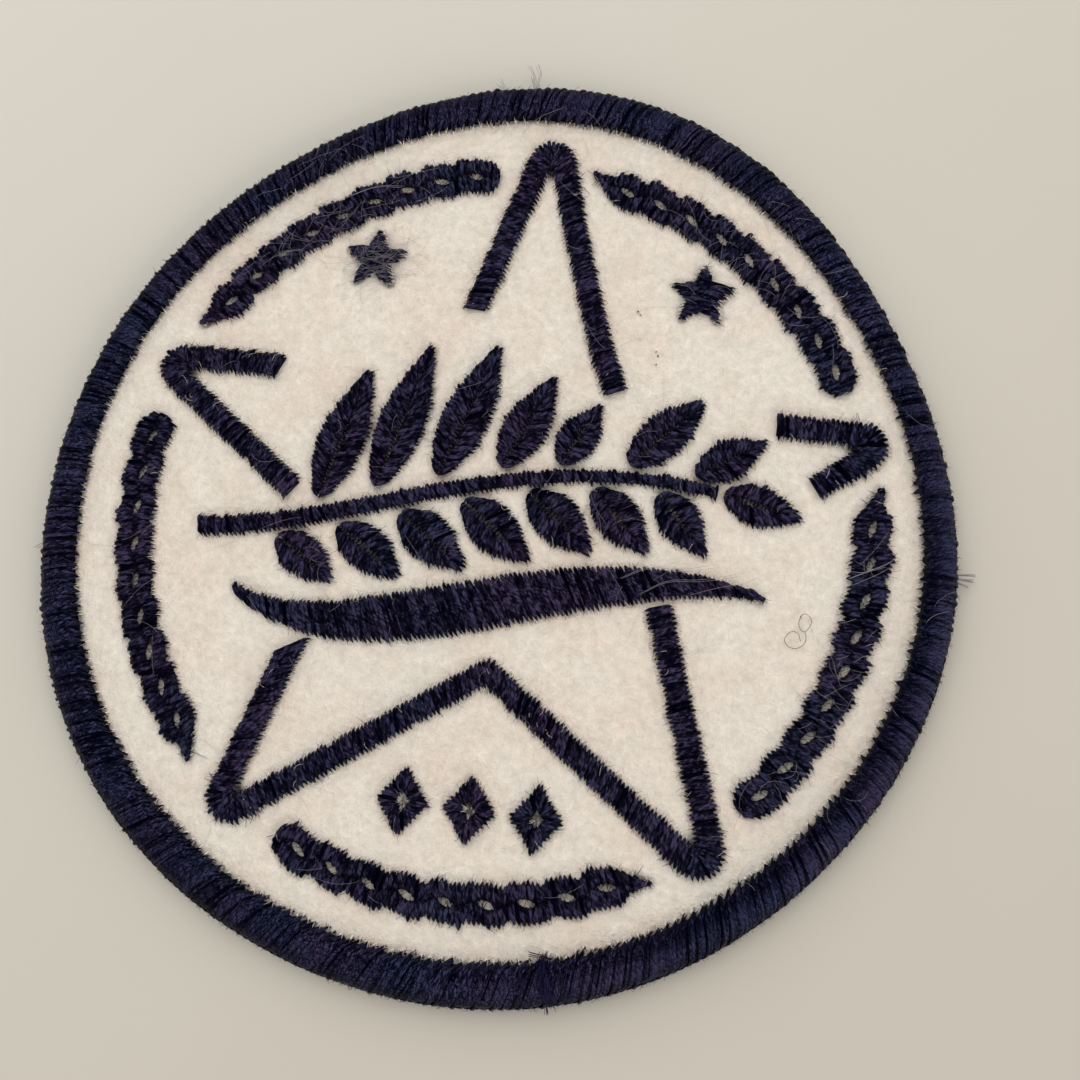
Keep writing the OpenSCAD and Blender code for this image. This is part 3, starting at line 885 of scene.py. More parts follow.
def lozenge_threads(number):
    """The four sides of a lozenge, each a run of satin over its padding."""
    middle = lozenge_row_at + np.array([(number - 2) * (lozenge_w + lozenge_gap), 0])
    half = np.array([lozenge_w, lozenge_h]) / 2
    opening = half * (1 - lozenge_stroke * np.linalg.norm(half) / (half[0] * half[1]))
    corners = np.array([[1, 0], [0, 1], [-1, 0], [0, -1]])
    share = np.linspace(0, 1, 8)[:, None]
    groups = []
    for a, b in zip(corners, np.roll(corners, -1, axis=0)):
        inner = middle + opening * (a + (b - a) * share)
        outer = middle + half * (a + (b - a) * share) * 0.985
        groups += satin_stroke(inner, outer, step=lozenge_step, ragged=(0.04, 0.06))
    return groups


for number in (1, 2, 3):
    navy_stitches(f"lozenge_{number}", lozenge_threads(number))


# Border
# An overlocked border: fine thread goes over the rim from a hole in the face to a hole in the back, turn
# beside turn, over a core of looper thread. A purl runs along the outside where the turns are locked.
border_rise = 1.3
border_middle_r = 36.2
wrap_pitch = 0.165
border_thread_w = 0.24
border_thread_h = 0.17
# half the width and height of its section
border_half = np.array([1.6, 1.4])
# how far round, in radians, a turn of thread that leans 45 degrees gets on its way out
lean_reach = 0.117
# where the looper thread holds the turns they stand out: distance along the rim and how far
knot_pitch = 0.7
knot_reach = 0.18
# how often the purl swings in a round, how far out and how high, its height, and half its thread's size
purl_swings = 190
purl_swing = [0.085, 0.17]
purl_height = 0.62
purl_half = [0.11, 0.10]
# direction, and how far the turns of thread lean clockwise on their way out there, both in degrees
border_lean = np.array([[0, -2], [45, 14], [90, 18], [135, 8], [170, -8], [195, -2], [215, 20], [250, 27],
                        [285, 33], [315, 28], [340, 8]])
# direction, and how much paler the thread is painted on the inner slope and on the outer one, as painted
# light and shade by the side that faces the light
border_painted_light = np.array([[0, 0.4, 2.6], [30, 1.5, 1.7], [60, 1.7, 1.0], [90, 1.8, 0.9], [120, 1.2, 0.7],
                        [150, 1.5, 0.8], [180, 1.4, 1.3], [210, 0.8, 1.0], [240, 1.3, 0.6], [270, 1.2, 1.0],
                        [300, 0.5, 1.8], [330, 0.4, 2.4]])
# share of the band's width from its inner edge, share of the full height
wrap_profile = np.array([
    [-0.03, 0.44], [-0.015, 0.58], [0.06, 0.76], [0.12, 0.86], [0.20, 0.93], [0.40, 1.0], [0.60, 0.96],
    [0.78, 0.87], [0.93, 0.66], [1.0, 0.36], [0.96, 0.12], [0.84, 0.0], [0.4, 0.0], [0.04, 0.01],
    [0.0, 0.14]])
core_profile = np.array([
    [0.11, 0.66], [0.30, 0.94], [0.57, 0.93], [0.85, 0.76], [0.93, 0.36], [0.86, 0.10], [0.60, 0.07],
    [0.10, 0.10], [0.04, 0.22], [0.50, 0.25], [0.50, 0.45], [0.04, 0.50]])
border_thread = navy_thread(
    "navy border thread", twist=0.9, deep=(0.0004, 0.0005, 0.0056), blue=(0.038, 0.045, 0.105),
    violet=(0.056, 0.043, 0.100))


def round_table(turn, table):
    """Each column of a table by direction, read at the given turns."""
    return [np.interp(np.degrees(turn), table[:, 0], column, period=360) for column in table.T[1:]]


def border_points(profile, turn, inset):
    """Reach and height of the points of a section at the given turns, drawn in from its surface by inset."""
    inner = inner_edge(turn)[:, None]
    band = outer_edge(turn)[:, None] - inner
    full = felt_t + border_rise
    middle = np.array([0.5, 0.5])
    share = middle + (profile - middle) * (1 - inset / border_half)
    return inner + band * share[None, :, 0], full * share[None, :, 1] + 0 * inner


def painted_light_along_wraps(turn):
    """Painted light and shade on each turn of thread from its inner end to its outer one: paler on the
    slope that faces the light, and darkest at the very edges, where painted shade falls.
    """
    inner_painted_light, outer_painted_light = [wear[:, None] for wear in round_table(turn, border_painted_light)]
    out = np.clip(wrap_profile[:, 0] / 0.35 - 1.0, 0, 1)[None, :]
    edges = np.interp(wrap_profile[:, 0], [0.0, 0.1, 0.88, 1.0], [0.6, 1, 1, 0.4])[None, :]
    return (inner_painted_light + (outer_painted_light - inner_painted_light) * out) * edges


def border_wraps():
    """One turn of thread over the rim after another. A few share a hole in the face, they lean more or less
    on their way out, and every so often one stands out at the rim where the looper thread holds it."""
    count = int(round(2 * np.pi * border_middle_r / wrap_pitch))
    steps = len(wrap_profile)
    j = np.arange(count)
    first = np.concatenate([[0], np.cumsum(dice.integers(3, 7, count))])
    first = np.append(first[first < count - 2], count)
    hole = np.searchsorted(first, j, side="right") - 1
    middle = (first[hole] + first[hole + 1] - 1) / 2
    turn = 2 * np.pi * (j + dice.normal(0, 0.2, count)) / count
    gather = 2 * np.pi * (middle + 0.33 * (j - middle)) / count
    reach, height = border_points(wrap_profile, turn, border_thread_h / 2)
    at_face = np.clip(1 - np.arange(steps) / 4.0, 0, 1)[None, :]
    at_back = at_face[:, ::-1]
    drawn_in = dice.normal(-0.08, 0.12, count)[hole] + 0.10 * np.abs(j - middle)
    reach = reach + (drawn_in + dice.normal(0, 0.05, count))[:, None] * at_face
    reach = reach + dice.normal(0, 0.09, (count, 1)) * at_back
    bulge = np.sin(np.linspace(0, np.pi, steps))[None, :]
    height = height + (dice.normal(0, 0.016, (count, 1)) + 0.02 * np.sin(turn * 37)[:, None]) * bulge
    held = np.clip(np.cos(j * 2 * np.pi * wrap_pitch / knot_pitch + 2 * np.sin(j / 31)), 0, 1)
    knot = knot_reach * held ** 4 + dice.normal(-0.02, 0.04, count)
    reach = reach + knot[:, None] * np.clip(wrap_profile[:, 0] * 2 - 1, 0, 1)[None, :]
    height = np.maximum(height, border_thread_h / 2)
    inward = np.clip(1 - wrap_profile[:, 0] / 0.20, 0, 1)[None, :]
    lean = round_table(turn, border_lean)[0] + dice.normal(0, 0.6, count)
    lean = (lean_reach * np.tan(np.radians(lean)))[:, None] * (0.4 - np.linspace(0, 1.6, steps))[None, :]
    at = turn[:, None] * (1 - inward) + gather[:, None] * inward + lean
    paths = around(at, reach, height)
    side = np.column_stack([left_of(around(turn, 1)), np.zeros(count)])[:, None, :]
    inner_ends = paths[:, 1, :2]
    add_holes(inner_ends, -inner_ends / reach_of(inner_ends)[:, None])
    # painted light and shade along each turn, by its direction round the rim
    return thread_solids(paths, side, border_thread_w / 2, border_thread_h / 2, slim=(0.2, 0.4, 0.8),
                         shade=(0.42, 0.3), hairs=4, tone_and_painted_light=painted_light_along_wraps(turn))


def border_core():
    """The roll of looper thread under the wraps, one closed ring."""
    sections = 180
    turn = np.arange(sections) * 2 * np.pi / sections
    reach, height = border_points(core_profile, turn, border_thread_h * 0.9)
    points = around(turn[:, None], reach, height)
    n = len(core_profile)
    k = np.arange(sections)[:, None]
    i = np.arange(n)[None, :]
    after, beside = (k + 1) % sections * n, (i + 1) % n
    quads = np.stack([k * n + i, after + i, after + beside, k * n + beside], axis=-1).reshape(-1, 4)
    return points.reshape(-1, 3), quads


def purl_threads():
    """Two locked threads that snake along the outside edge, near the desk."""
    turn = np.linspace(0, 2 * np.pi, 1100)
    paths = []
    for phase in (0, np.pi):
        swing = purl_swings * turn + phase + 0.5 * np.sin(11 * turn)
        reach = outer_edge(turn) - 0.03 + purl_swing[0] * np.sin(swing)
        height = purl_height + purl_swing[1] * np.cos(swing) + 0.06 * np.sin(23 * turn)
        paths.append(around(turn, reach, height))
    return thread_solids(np.array(paths), np.array([0, 0, 1.0]), *purl_half, slim=(1.0,))


core_points, core_quads = border_core()
core = make_mesh("border_core", core_points, [core_quads], border_thread, np.zeros((core_quads.size, 2)),
                 np.full(len(core_points), 0.1))
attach(core, "root")
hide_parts("merrowed_border")
stitched_piece("border_wraps", [border_wraps()], border_thread, "merrowed_border")
stitched_piece("border_purl", [purl_threads()], border_thread)


# Pull of the stitches
# Tight thread draws the felt down round each needle hole, so the bare felt between the strokes stands a
# little proud like a cushion. Where holes crowd together, as in the slits, the felt is pulled deeper and
# painted darker, a painted shade.
needle_holes = np.array(needle_holes)
# depth of the dimple and how far it reaches, close to a hole and more widely round it
hole_dimples = [(0.10, 0.3), (0.05, 1.0)]
cushion_rise = 0.02
# felt this near to a hole lies in a crowd of them when more than crowd_from lie within crowd_reach, and is
# pulled down by the whole of crowded_depth when crowd_more others do as well
near_hole = 0.5
crowd_reach = 0.6
crowd_from = 3
crowd_more = 8
crowded_depth = 0.4
hole_finder = kdtree.KDTree(len(needle_holes))
for i, (x, y) in enumerate(needle_holes[:, :2]):
    hole_finder.insert((x, y, 0), i)
hole_finder.balance()
pulled = np.array([v.co[:] for v in felt.data.vertices])
painted_crowd_shade = np.zeros(len(pulled))
for i in range(felt_face_count):
    spot = (pulled[i, 0] * 1000, pulled[i, 1] * 1000, 0)
    gap = hole_finder.find(spot)[2]
    on_design = gap < near_hole and math.dist(spot[:2], design_at) < chain_r + 1
    crowded = len(hole_finder.find_range(spot, crowd_reach)) if on_design else 0
    crowded = min(crowd_more, max(0, crowded - crowd_from)) / crowd_more
    near, wide = [depth * math.exp(-(gap / reach) ** 2) for depth, reach in hole_dimples]
    pulled[i, 2] -= 0.001 * (near + wide - cushion_rise + crowded_depth * crowded)
    # the same crowd darkens the felt's colour there: painted shade
    painted_crowd_shade[i] = crowded
set_point_value(felt.data, "painted_crowd_shade", painted_crowd_shade)
felt.data.vertices.foreach_set("co", pulled.astype(np.float32).reshape(-1))
felt.data.update()


# Loose fibres
# Wool fibres that have worked loose from the felt curl over its face and over the stitches, thickest on the
# left small star and the chains. Short ends of navy filament stand out from the edges of the stitches.
wool_w = 0.014
stray_w = 0.012
hair_w = 0.024
# half the width and height of the wool that laps up over the edge of a stroke
lap_half = [0.034, 0.03]
# how many lie on the bare face, at the edges of strokes and as lint at edges, in slits and at the rim
face_count = 1000
edge_count = 2000
lint_counts = [4200, 1500, 1500]
hair_count = 11500
# how far out of a stroke's hole the felt has to be bare, and how far from the chain's middle its slits are
bare_reach = 0.55
slit_reach = 0.55
# holes nearer the middle than this aren't on the rim
border_inside = 36
# the grid of heights that loose fibres are laid on: its cell, and half its side
lay_cell = 0.2
lay_half = 42
# what stands this far over the felt is thread
thread_from = 0.3


def lay_cells(flat):
    """Row and column of the grid's cells that places on the patch lie in."""
    cell = ((flat + lay_half) / lay_cell).astype(int)
    cell = np.clip(cell, 0, int(2 * lay_half / lay_cell) - 1)
    return cell[..., 0], cell[..., 1]


def height_map():
    """The highest point of the patch in each cell of a grid, spread to the cells beside it."""
    side = int(2 * lay_half / lay_cell)
    grid = np.zeros((side, side))
    for piece in bpy.context.scene.objects:
        if piece.type == "MESH" and "dye" in piece.data.attributes or piece == felt:
            place = np.empty(len(piece.data.vertices) * 3, dtype=np.float32)
            piece.data.vertices.foreach_get("co", place)
            place = place.reshape(-1, 3) * 1000
            np.maximum.at(grid, lay_cells(place[:, :2]), place[:, 2])
    for axis in (0, 1):
        grid = np.maximum(grid, np.maximum(np.roll(grid, 1, axis), np.roll(grid, -1, axis)))
    return grid


highest = height_map()


def lay_down(flat, above):
    """Heights for points (threads, points, 2) that lie on whatever is under them."""
    under = highest[lay_cells(flat)]
    over = under.copy()
    over[:, 1:] = np.maximum(over[:, 1:], under[:, :-1])
    over[:, :-1] = np.maximum(over[:, :-1], under[:, 1:])
    return over + above


def over_thread(place):
    """Whether thread stands up at each place, rather than bare felt."""
    return highest[lay_cells(place)] > felt_t + thread_from


def loose_wool(name, light, warm, dull):
    """Fine wool or hair in three shades that change along it."""
    material, tree, shader = new_material(name, 0.8, 0.2)
    mottle = use_effect(tree, wool_mottle_effect, Light=(*light, 1), Warm=(*warm, 1), Dull=(*dull, 1))
    tree.links.new(mottle.outputs["Color"], shader.inputs["Base Color"])
    return material


def wool_paths(start, low_l, high_l, above, curl=0.35, steps=5, lie=0, spray=180):
    """Curling fibres from the given places, laid on the face at the heading lie, give or take spray, both in
    degrees."""
    count = len(start)
    bend = dice.normal(0, curl, (count, 1)) + dice.normal(0, curl / 2, (count, steps))
    first_way = lie + spray * dice.uniform(-1, 1, (count, 1)) + 180 * dice.integers(0, 2, (count, 1))
    heading = np.radians(first_way) + np.cumsum(bend, axis=1)
    stride = dice.uniform(low_l, high_l, (count, 1)) / steps
    flat = start[:, None, :] + np.cumsum(around(heading, stride), axis=1)
    lift = above + 0.10 * dice.uniform(0, 1, (count, 1)) * np.sin(np.pi * np.linspace(0, 1, steps))[None, :]
    return np.dstack([flat, lay_down(flat, lift)])


def spread(count, reach):
    """Places strewn evenly over a disc."""
    place = dice.uniform(-reach, reach, (count * 2, 2))
    return place[reach_of(place) < reach][:count]


def edge_paths(holes, low_l, high_l, fan, back, rise):
    """Short fibres that start at needle holes and point out from the stitches."""
    count = len(holes)
    across = left_of(holes[:, 2:])
    lean = dice.normal(0, fan, (count, 1))
    heading = holes[:, 2:] + across * lean
    bend = across * dice.normal(0, 0.15, (count, 1))
    long = dice.uniform(low_l, high_l, (count, 1))
    share = np.array([0, 0.5, 1.0])[None, :, None]
    flat = (holes[:, None, :2] - holes[:, None, 2:] * back + (long * heading)[:, None, :] * share
            + (long * bend)[:, None, :] * share ** 2)
    z = felt_t + np.array(rise)[None, :] * dice.uniform(0.6, 1.3, (count, 1))
    return np.dstack([flat, z])


def hair_paths(roots, low_l, high_l, fan):
    """Broken filaments that leave the thread they belong to at a small angle."""
    count = len(roots)
    ahead, over = roots[:, 3:6], roots[:, 6:9]
    across = np.cross(over, ahead)
    long = dice.uniform(low_l, high_l, (count, 1)) * dice.choice([-1, 1], (count, 1))
    tip = ahead + across * dice.normal(0, fan, (count, 1))
    bend = across * dice.normal(0, 0.2, (count, 1))
    lift = over * dice.uniform(0.02, 0.10, (count, 1))
    share = np.array([0, 0.5, 1.0])[None, :, None]
    return (roots[:, None, :3] + (tip * long)[:, None, :] * share + (bend * long)[:, None, :] * share ** 2
            + lift[:, None, :] * share + over[:, None, :] * 0.02)


upright = np.array([0, 0, 1.0])


def fibre_solids(paths, width, **finish):
    """Three-sided fibres of one width all round."""
    return thread_solids(paths, upright, width / 2, width / 2, facets=3, **finish)


edge_holes = dice.permutation(needle_holes[reach_of(needle_holes) < border_inside])
felt_edges = edge_holes[~over_thread(edge_holes[:, :2] + bare_reach * edge_holes[:, 2:])]
off_chain = np.abs(reach_of(edge_holes[:, :2] - design_at) - chain_r)
slit_holes = dice.permutation(edge_holes[off_chain < slit_reach])
# turns the direction at a hole round, into the stroke
inward = [1, 1, -1, -1]
felt_wool = loose_wool("loose wool", (0.94, 0.88, 0.79), (0.91, 0.81, 0.71), (0.86, 0.80, 0.70))
dull_wool = loose_wool("dusty wool", (0.36, 0.35, 0.37), (0.30, 0.27, 0.30), (0.22, 0.23, 0.28))
on_face = spread(2 * face_count, 34.2)
bare_face = on_face[~over_thread(on_face)][:face_count]
nap = [fibre_solids(wool_paths(bare_face, 0.4, 1.3, above=0.0), wool_w),
       fibre_solids(edge_paths(felt_edges[:edge_count], 0.2, 0.55, fan=0.25, back=-0.03,
                               rise=(-0.06, 0.05, 0.02)), wool_w),
       thread_solids(edge_paths(felt_edges * inward, 0.35, 0.7, fan=0.3, back=0.28, rise=(-0.08, 0.14, 0.36)),
                     upright, *lap_half, facets=3, slim=(0.15, 0.6, 1.0))]
stitched_piece("felt_fuzz", nap, felt_wool)
# x, y, reach and number of fibres where many lie over stitches, and their heading and its range in degrees
thick_places = [
    (-12.6, 21.8, 2.6, 120, 8, 35), (-16.0, 25.5, 6.0, 90, 32, 40), (-22.0, 19.0, 5.0, 50, 50, 60),
    (17.5, 23.5, 6.0, 50, -40, 60), (27.5, -10.0, 4.0, 30, 60, 90), (26.0, -18.0, 5.0, 30, 60, 90),
    (0, 0, 33.5, 230, 0, 180), (0, 0, 36.5, 80, 0, 180)]
strays = []
for x, y, reach, count, lie, spray in thick_places:
    place = design_at + (x, y) + spread(count, reach)
    lines = wool_paths(place[over_thread(place)], 0.8, 4.5, above=0.06, curl=0.16, steps=8, lie=lie,
                       spray=spray)
    strays.append(fibre_solids(lines, stray_w))
stitched_piece("stray_fibres", strays, dull_wool)
lint_thread = navy_thread(
    "navy lint", twist=0.7, deep=(0.003, 0.003, 0.009), blue=(0.045, 0.052, 0.120),
    violet=(0.060, 0.046, 0.105), gloss=0.1, roughness=0.6, depth=0.00001)
turn = dice.uniform(0, 2 * np.pi, lint_counts[2])
rim_places = np.column_stack([around(turn, outer_edge(turn)), around(turn, 1)])
# where lint stands out, its least and greatest length, fan, how far back it starts, rise, width and shade
lint_kinds = [
    (dice.permutation(needle_holes)[:lint_counts[0]], 0.25, 0.55, 0.5, 0.2, (0.30, 0.18, 0.05), 0.028,
     (0.3, 0.2)),
    # dark lint across the slits: partly real lint, partly a dark stand-in for the shade in the slits
    (slit_holes[:lint_counts[1]], 0.3, 0.9, 0.8, 0.2, (0.34, 0.30, 0.15), 0.040, (0.4, 0.3)),
    (rim_places, 0.15, 0.5, 0.6, 0.12, (-0.7, -0.75, -0.9), 0.026, (0.3, 0.3))]
edge_lint = [fibre_solids(edge_paths(*lines), width, shade=shade) for *lines, width, shade in lint_kinds]
stitched_piece("edge_lint", edge_lint, lint_thread)
some_roots = dice.permutation(hair_roots)[:hair_count]
hairs = fibre_solids(hair_paths(some_roots, 0.25, 0.8, fan=0.25), hair_w, shade=(0.6, 0.35))
stitched_piece("thread_hairs", [hairs], lint_thread)


# Loose ends
# What has been left on the patch: thread ends where the border's start and finish overlap, tufts of fibre
# caught in the border, a curled hair and a few long ones that lie over the face, and dark specks of dust.
fluff_w = 0.018
end_w = 0.040
wisp_w = 0.032
speck_w = 0.06


def drawn_line(points, steps):
    """A smooth line of points through the given ones."""
    points = np.array(points, dtype=float)
    knots = np.vstack([2 * points[0] - points[1], points, 2 * points[-1] - points[-2]])
    at = np.linspace(0, len(points) - 1, steps)
    k = np.minimum(at.astype(int), len(points) - 2)
    t = (at - k)[:, None]
    a, b, c, d = knots[k], knots[k + 1], knots[k + 2], knots[k + 3]
    return 0.5 * (2 * b + (c - a) * t + (2 * a - 5 * b + 4 * c - d) * t ** 2
                  + (3 * b - a - 3 * c + d) * t ** 3)


def bundle(count, fan, points, width=fluff_w, steps=14, root=0.3):
    """A few fibres along one line, fanned out toward its end."""
    share = np.linspace(root, 1, steps)[None, :, None]
    shift = dice.normal(0, fan, (count, 1, 3)) * share + dice.normal(0, fan / 3, (count, 1, 3)) * share ** 3
    return fibre_solids(drawn_line(points, steps)[None] + shift, width, shade=(0.6, 0.25))


join_thread = navy_thread(
    "loose border thread", twist=0.6, deep=(0.004, 0.004, 0.02), blue=(0.016, 0.020, 0.11),
    violet=(0.034, 0.026, 0.12), gloss=0.15, roughness=0.45, depth=0.00003)
join_ends = [
    bundle(22, 0.26, [(9.5, -33.0, 1.8), (9.45, -33.6, 2.5), (9.65, -34.6, 2.96), (9.95, -35.6, 2.92),
                      (10.15, -36.3, 2.5), (10.25, -36.8, 1.8)], end_w, root=0.8),
    bundle(9, 0.09, [(10.0, -35.6, 2.95), (10.15, -36.4, 2.5), (10.25, -37.0, 1.4), (10.3, -37.4, 0.9)],
           end_w)]
stitched_piece("join_thread_ends", join_ends, join_thread)
red_thread = navy_thread(
    "dyed wisp", twist=0.6, deep=(0.012, 0.003, 0.010), blue=(0.10, 0.03, 0.09), violet=(0.14, 0.04, 0.08),
    gloss=0.12, roughness=0.5, depth=0.00003)
wisp = bundle(7, 0.08, [(10.1, -33.2, 2.3), (9.4, -33.05, 2.1), (8.8, -33.05, 1.9), (8.2, -33.0, 1.75)],
              wisp_w)
stitched_piece("join_wisp", [wisp], red_thread)
tuft_wool = loose_wool("grey fluff", (0.24, 0.24, 0.27), (0.20, 0.18, 0.21), (0.13, 0.13, 0.17))
# number of fibres, how far they fan out, and the line that they follow
tuft_lines = [
    (10, 0.07, [(37.5, 0.22, 0.9), (38.4, 0.34, 0.8), (39.3, 0.42, 0.7)]),
    (12, 0.08, [(37.5, 0.0, 0.9), (38.4, -0.04, 0.8), (39.2, 0.0, 0.6)]),
    (8, 0.07, [(37.5, -0.25, 0.9), (38.3, -0.38, 0.7), (38.85, -0.58, 0.6)]),
    (3, 0.10, [(-1.2, 38.6, 1.0), (-1.4, 39.9, 1.0), (-1.75, 40.6, 0.9), (-2.2, 41.3, 0.8)]),
    (4, 0.10, [(-1.2, 38.6, 1.0), (-1.0, 39.8, 1.1), (-0.95, 40.6, 1.0), (-1.3, 41.4, 0.9)]),
    (5, 0.14, [(-1.2, 38.8, 1.0), (-1.5, 39.6, 1.1), (-1.7, 40.3, 1.0)]),
    (8, 0.20, [(-4.0, 38.2, 1.0), (-4.2, 39.0, 1.0), (-4.6, 39.4, 0.9)]),
    (5, 0.16, [(-2.9, 38.5, 1.0), (-2.9, 39.1, 1.0), (-2.7, 39.5, 0.9)]),
    (5, 0.10, [(-37.2, -5.6, 1.0), (-37.9, -5.9, 0.9), (-38.5, -6.4, 0.8)])]
stitched_piece("tufts", [bundle(*line) for line in tuft_lines], tuft_wool)
brown_hair = loose_wool("brown hair", (0.16, 0.11, 0.08), (0.13, 0.09, 0.06), (0.10, 0.08, 0.06))
curls = [
    [(26.2, -4.72, 1.75), (26.08, -4.62, 1.7), (26.39, -4.34, 1.75), (26.8, -4.53, 1.8), (26.98, -4.95, 1.85),
     (26.85, -5.4, 1.8), (26.53, -5.75, 1.75), (26.2, -5.6, 1.7), (26.02, -5.19, 1.75), (26.07, -4.8, 1.85),
     (26.2, -4.5, 1.85)],
    [(26.5, -5.72, 1.7), (26.65, -5.95, 1.75), (26.69, -6.46, 1.8), (26.45, -6.89, 1.75),
     (25.91, -7.16, 1.7), (25.33, -7.02, 1.75), (25.06, -6.55, 1.8), (25.31, -6.05, 1.85),
     (25.7, -5.86, 1.9), (26.08, -6.0, 1.85), (26.2, -6.3, 1.8), (26.3, -6.55, 1.75)]]
coils = [bundle(1, 0.0, points, end_w, steps=70) for points in curls]
stitched_piece("curled_hair", coils, brown_hair)
hair_lines = [
    (1, 0.03, [(29.74, -1.73, 2.2), (30.75, -1.19, 2.35), (31.67, -0.62, 2.35), (32.6, 0.1, 2.1)]),
    (2, 0.06, [(29.46, -1.25, 2.2), (30.68, -0.64, 2.35), (31.92, 0.01, 2.35), (32.73, 0.62, 2.1)]),
    (1, 0.03, [(29.2, -0.5, 2.1), (30.21, -0.66, 2.35), (31.32, -0.36, 2.35), (32.26, 0.08, 2.2)]),
    (1, 0.05, [(28.6, -4.9, 1.8), (29.55, -4.7, 2.3), (30.32, -4.36, 2.3)]),
    (1, 0.05, [(30.5, -7.75, 2.2), (31.16, -7.22, 2.35), (31.9, -7.06, 2.2)]),
    (2, 0.08, [(31.24, -6.38, 2.3), (31.7, -6.16, 2.35), (32.3, -6.3, 2.2)]),
    (2, 0.14, [(11.63, -3.29, 2.2), (13.73, -2.26, 2.4), (16.26, -2.16, 2.4), (18.72, -1.59, 2.4)]),
    (2, 0.14, [(13.33, -4.36, 2.2), (15.39, -3.12, 2.4), (17.85, -2.74, 2.4), (20.49, -2.06, 2.4),
               (21.6, -1.2, 2.2)]),
    (1, 0.10, [(17.27, -3.99, 2.2), (19.53, -3.12, 2.4), (21.62, -2.46, 2.4), (23.18, -1.4, 2.2)]),
    (1, 0.04, [(35.52, -4.26, 2.5), (35.85, -3.75, 2.85), (36.42, -3.36, 2.8), (37.3, -3.02, 2.5)]),
    (2, 0.10, [(-20.5, 24.6, 2.2), (-18.6, 25.8, 2.4), (-16.2, 27.0, 2.4), (-13.6, 28.3, 2.4),
               (-11.2, 28.6, 2.2)]),
    (2, 0.12, [(-4.4, 33.8, 2.3), (-3.0, 34.6, 2.9), (-1.0, 35.0, 2.95), (0.6, 34.7, 2.8)]),
    (1, 0.08, [(-1.6, 34.2, 2.3), (-0.3, 35.4, 2.95), (1.8, 36.6, 2.9)])]
stitched_piece("long_hairs", [bundle(*line) for line in hair_lines], dull_wool)
speck_places = [(12.07, 16.02), (12.28, 15.69), (12.21, 14.9), (10.16, 19.35), (10.4, 19.1)]
specks = []
for x, y in speck_places:
    line = [(x, y, 1.62), (x + 0.09, y - 0.03, 1.68), (x + 0.12, y + 0.09, 1.62)]
    specks.append(bundle(2, 0.03, line, speck_w, steps=5))
stitched_piece("specks", specks, brown_hair)


# Back of the stitches
# On the back a white bobbin thread crosses each stroke from hole to hole, and the navy thread shows at both
# ends of it, where the bobbin thread pulls its loops through the felt.
bobbin_half = [0.19, 0.06]
# heights, and places as shares of the way from hole to hole
bobbin_heights = [0.14, 0.07, 0.07, 0.14]
bobbin_places = np.array([-0.02, 0.34, 0.66, 1.02])


def bobbin_thread():
    """White thread in its middle, where dye is 1, and navy at both ends, with a frayed line between them."""
    material, tree, shader = new_material("bobbin thread", 0.5, 0.2)
    ply = use_effect(tree, thread_ply_effect, Twist=0.6, Filaments=0.6)
    uneven = noise_node(tree, object_place(tree), 2500)
    frayed = math_node(tree, "MULTIPLY_ADD", uneven, 1.2, point_value(tree, "dye"))
    white = ramp(tree, frayed, 4.0, -4.9)
    # painted shade: the white is greyer in the grooves between its plies
    shaded = blend_node(tree, ply.outputs["Groove"], (0.64, 0.63, 0.60, 1), (0.86, 0.85, 0.82, 1))
    tree.links.new(blend_node(tree, white, (0.009, 0.009, 0.028, 1), shaded), shader.inputs["Base Color"])
    add_relief(tree, shader, ply.outputs["Height"], 0.7, 0.00006)
    return material


first, last = np.array(back_stitches).transpose(1, 0, 2)
flat = first[:, None, :] + (last - first)[:, None, :] * bobbin_places[None, :, None]
paths = np.dstack([flat, np.broadcast_to(bobbin_heights, flat.shape[:2])])
bobbins = thread_solids(paths, level_side(first, last), *bobbin_half, facets=3, slim=(0.5, 1.0),
                        shade=(1.0, 0.0), tone_and_painted_light=np.array([0, 1, 1, 0]))
stitched_piece("bobbin_stitches", [bobbins], bobbin_thread())


# Desk, light and camera
# The patch lies on a plain pale desk top under soft even light. The camera looks at it from 75 degrees up.
desk_half = 700.0
desk_drop = 0.02
# the camera's place, its axes as rows, its focal length and the picture's width in pixels, and its sensor
camera_at = np.array([20.27, -21.23, 112.76])
camera_rows = np.array([[0.9843, 0.13568, -0.11292], [-0.112, 0.97447, 0.19457],
                        [0.13644, -0.17887, 0.97437]])
focal_px = 1400
picture_px = 1080
sensor_w = 36


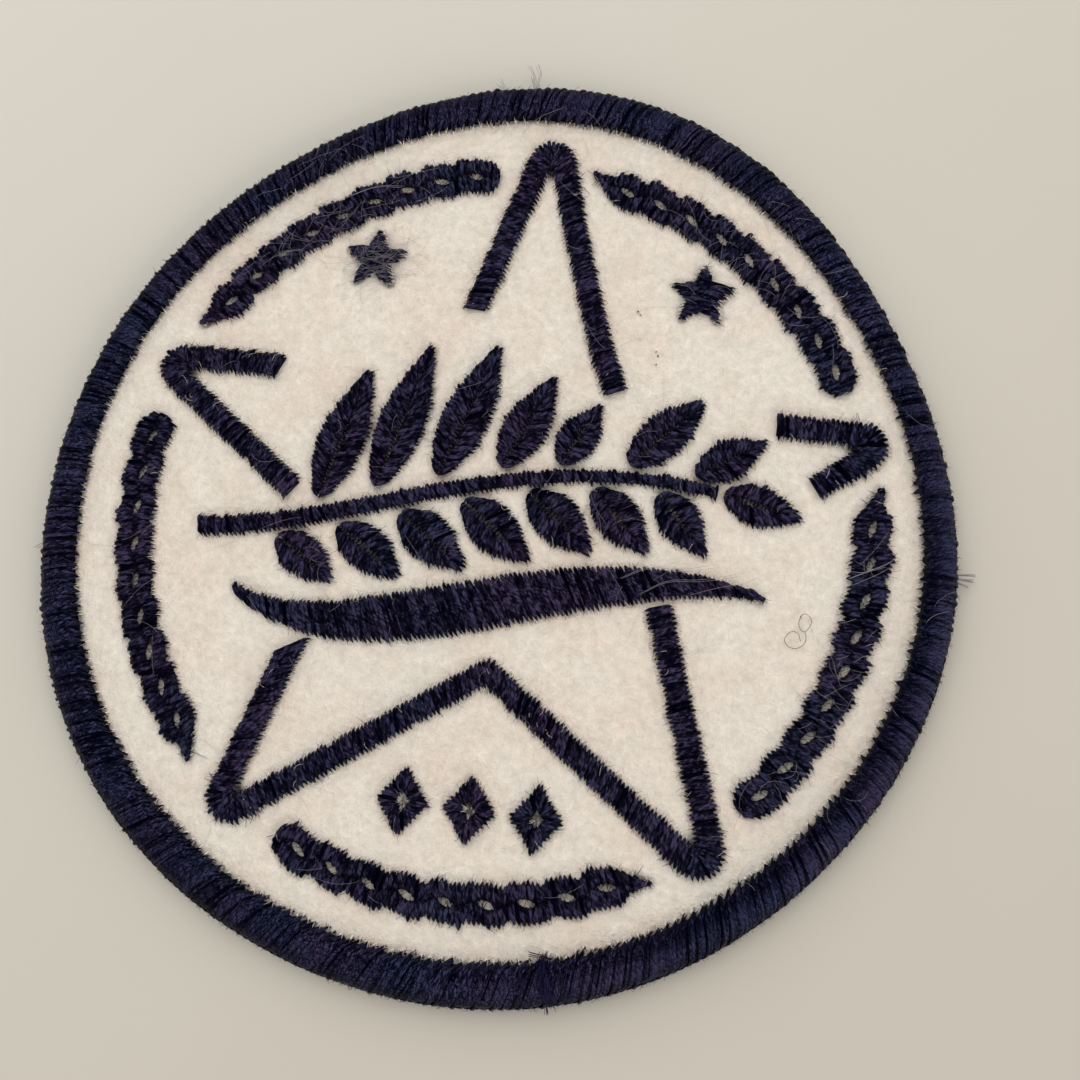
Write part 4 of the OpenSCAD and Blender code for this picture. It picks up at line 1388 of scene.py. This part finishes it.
def desk_top():
    """A pale smooth top with a fine grain, painted darker toward the near right as painted shade."""
    material, tree, shader = new_material("pale desk", 0.7, 0.2)
    place = object_place(tree)
    across, along = axes_of(tree, place)[:2]
    # painted shade: the top darkens toward the near right
    painted_falloff = math_node(tree, "MULTIPLY", math_node(tree, "SUBTRACT", along, across), 5.0)
    cloudy = math_node(tree, "MULTIPLY_ADD", noise_node(tree, place, 30, 3, 0.5), 0.3, 0.35)
    tone = math_node(tree, "ADD", cloudy, painted_falloff, clamp=True)
    colour = blend_node(tree, tone, (0.545, 0.503, 0.436, 1), (0.640, 0.616, 0.555, 1))
    tree.links.new(colour, shader.inputs["Base Color"])
    add_relief(tree, shader, noise_node(tree, place, 900), 0.08, 0.0002)
    return material


desk_corners = np.array([[-1, -1, 0], [1, -1, 0], [1, 1, 0], [-1, 1, 0]]) * desk_half
desk = make_mesh("desk", desk_corners - np.array([0, 0, desk_drop]), [np.array([[0, 1, 2, 3]])], desk_top())

# the surroundings light the patch from all sides but hardly show in its gloss
world = bpy.data.worlds.new("studio")
bpy.context.scene.world = world
world.use_nodes = True
sky = world.node_tree.nodes["Background"]
sky.inputs["Color"].default_value = (1.0, 0.985, 0.96, 1)
ray = world.node_tree.nodes.new("ShaderNodeLightPath")
sky_strength = math_node(world.node_tree, "MULTIPLY_ADD", ray.outputs["Is Glossy Ray"], -0.59, 0.60)
world.node_tree.links.new(sky_strength, sky.inputs["Strength"])


def softbox(name, place, size, power, colour):
    """A square soft light that faces the patch."""
    light = bpy.data.lights.new(name, "AREA")
    light.shape = "SQUARE"
    light.size = size
    light.energy = power
    light.color = colour
    lamp = bpy.data.objects.new(name, light)
    lamp.location = place
    lamp.rotation_euler = (-Vector(place)).to_track_quat("-Z", "Y").to_euler()
    bpy.context.scene.collection.objects.link(lamp)
    return lamp


# the window lights the patch, but isn't mirrored in its gloss
softbox("window", (-0.10, 0.28, 0.36), 0.60, 1.45, (1.0, 0.99, 0.97)).visible_glossy = False
softbox("fill", (0.55, -0.50, 0.34), 0.60, 2.7, (1.0, 0.97, 0.92))

camera_data = bpy.data.cameras.new("camera")
camera_data.sensor_width = sensor_w
camera_data.lens = sensor_w * focal_px / picture_px
camera_data.clip_start = 0.005
camera = bpy.data.objects.new("camera", camera_data)
pose = Matrix(camera_rows.T.tolist()).to_4x4()
pose.translation = Vector(camera_at / 1000)
camera.matrix_world = pose
bpy.context.scene.collection.objects.link(camera)
bpy.context.scene.camera = camera
bpy.context.scene.view_settings.view_transform = "Standard"
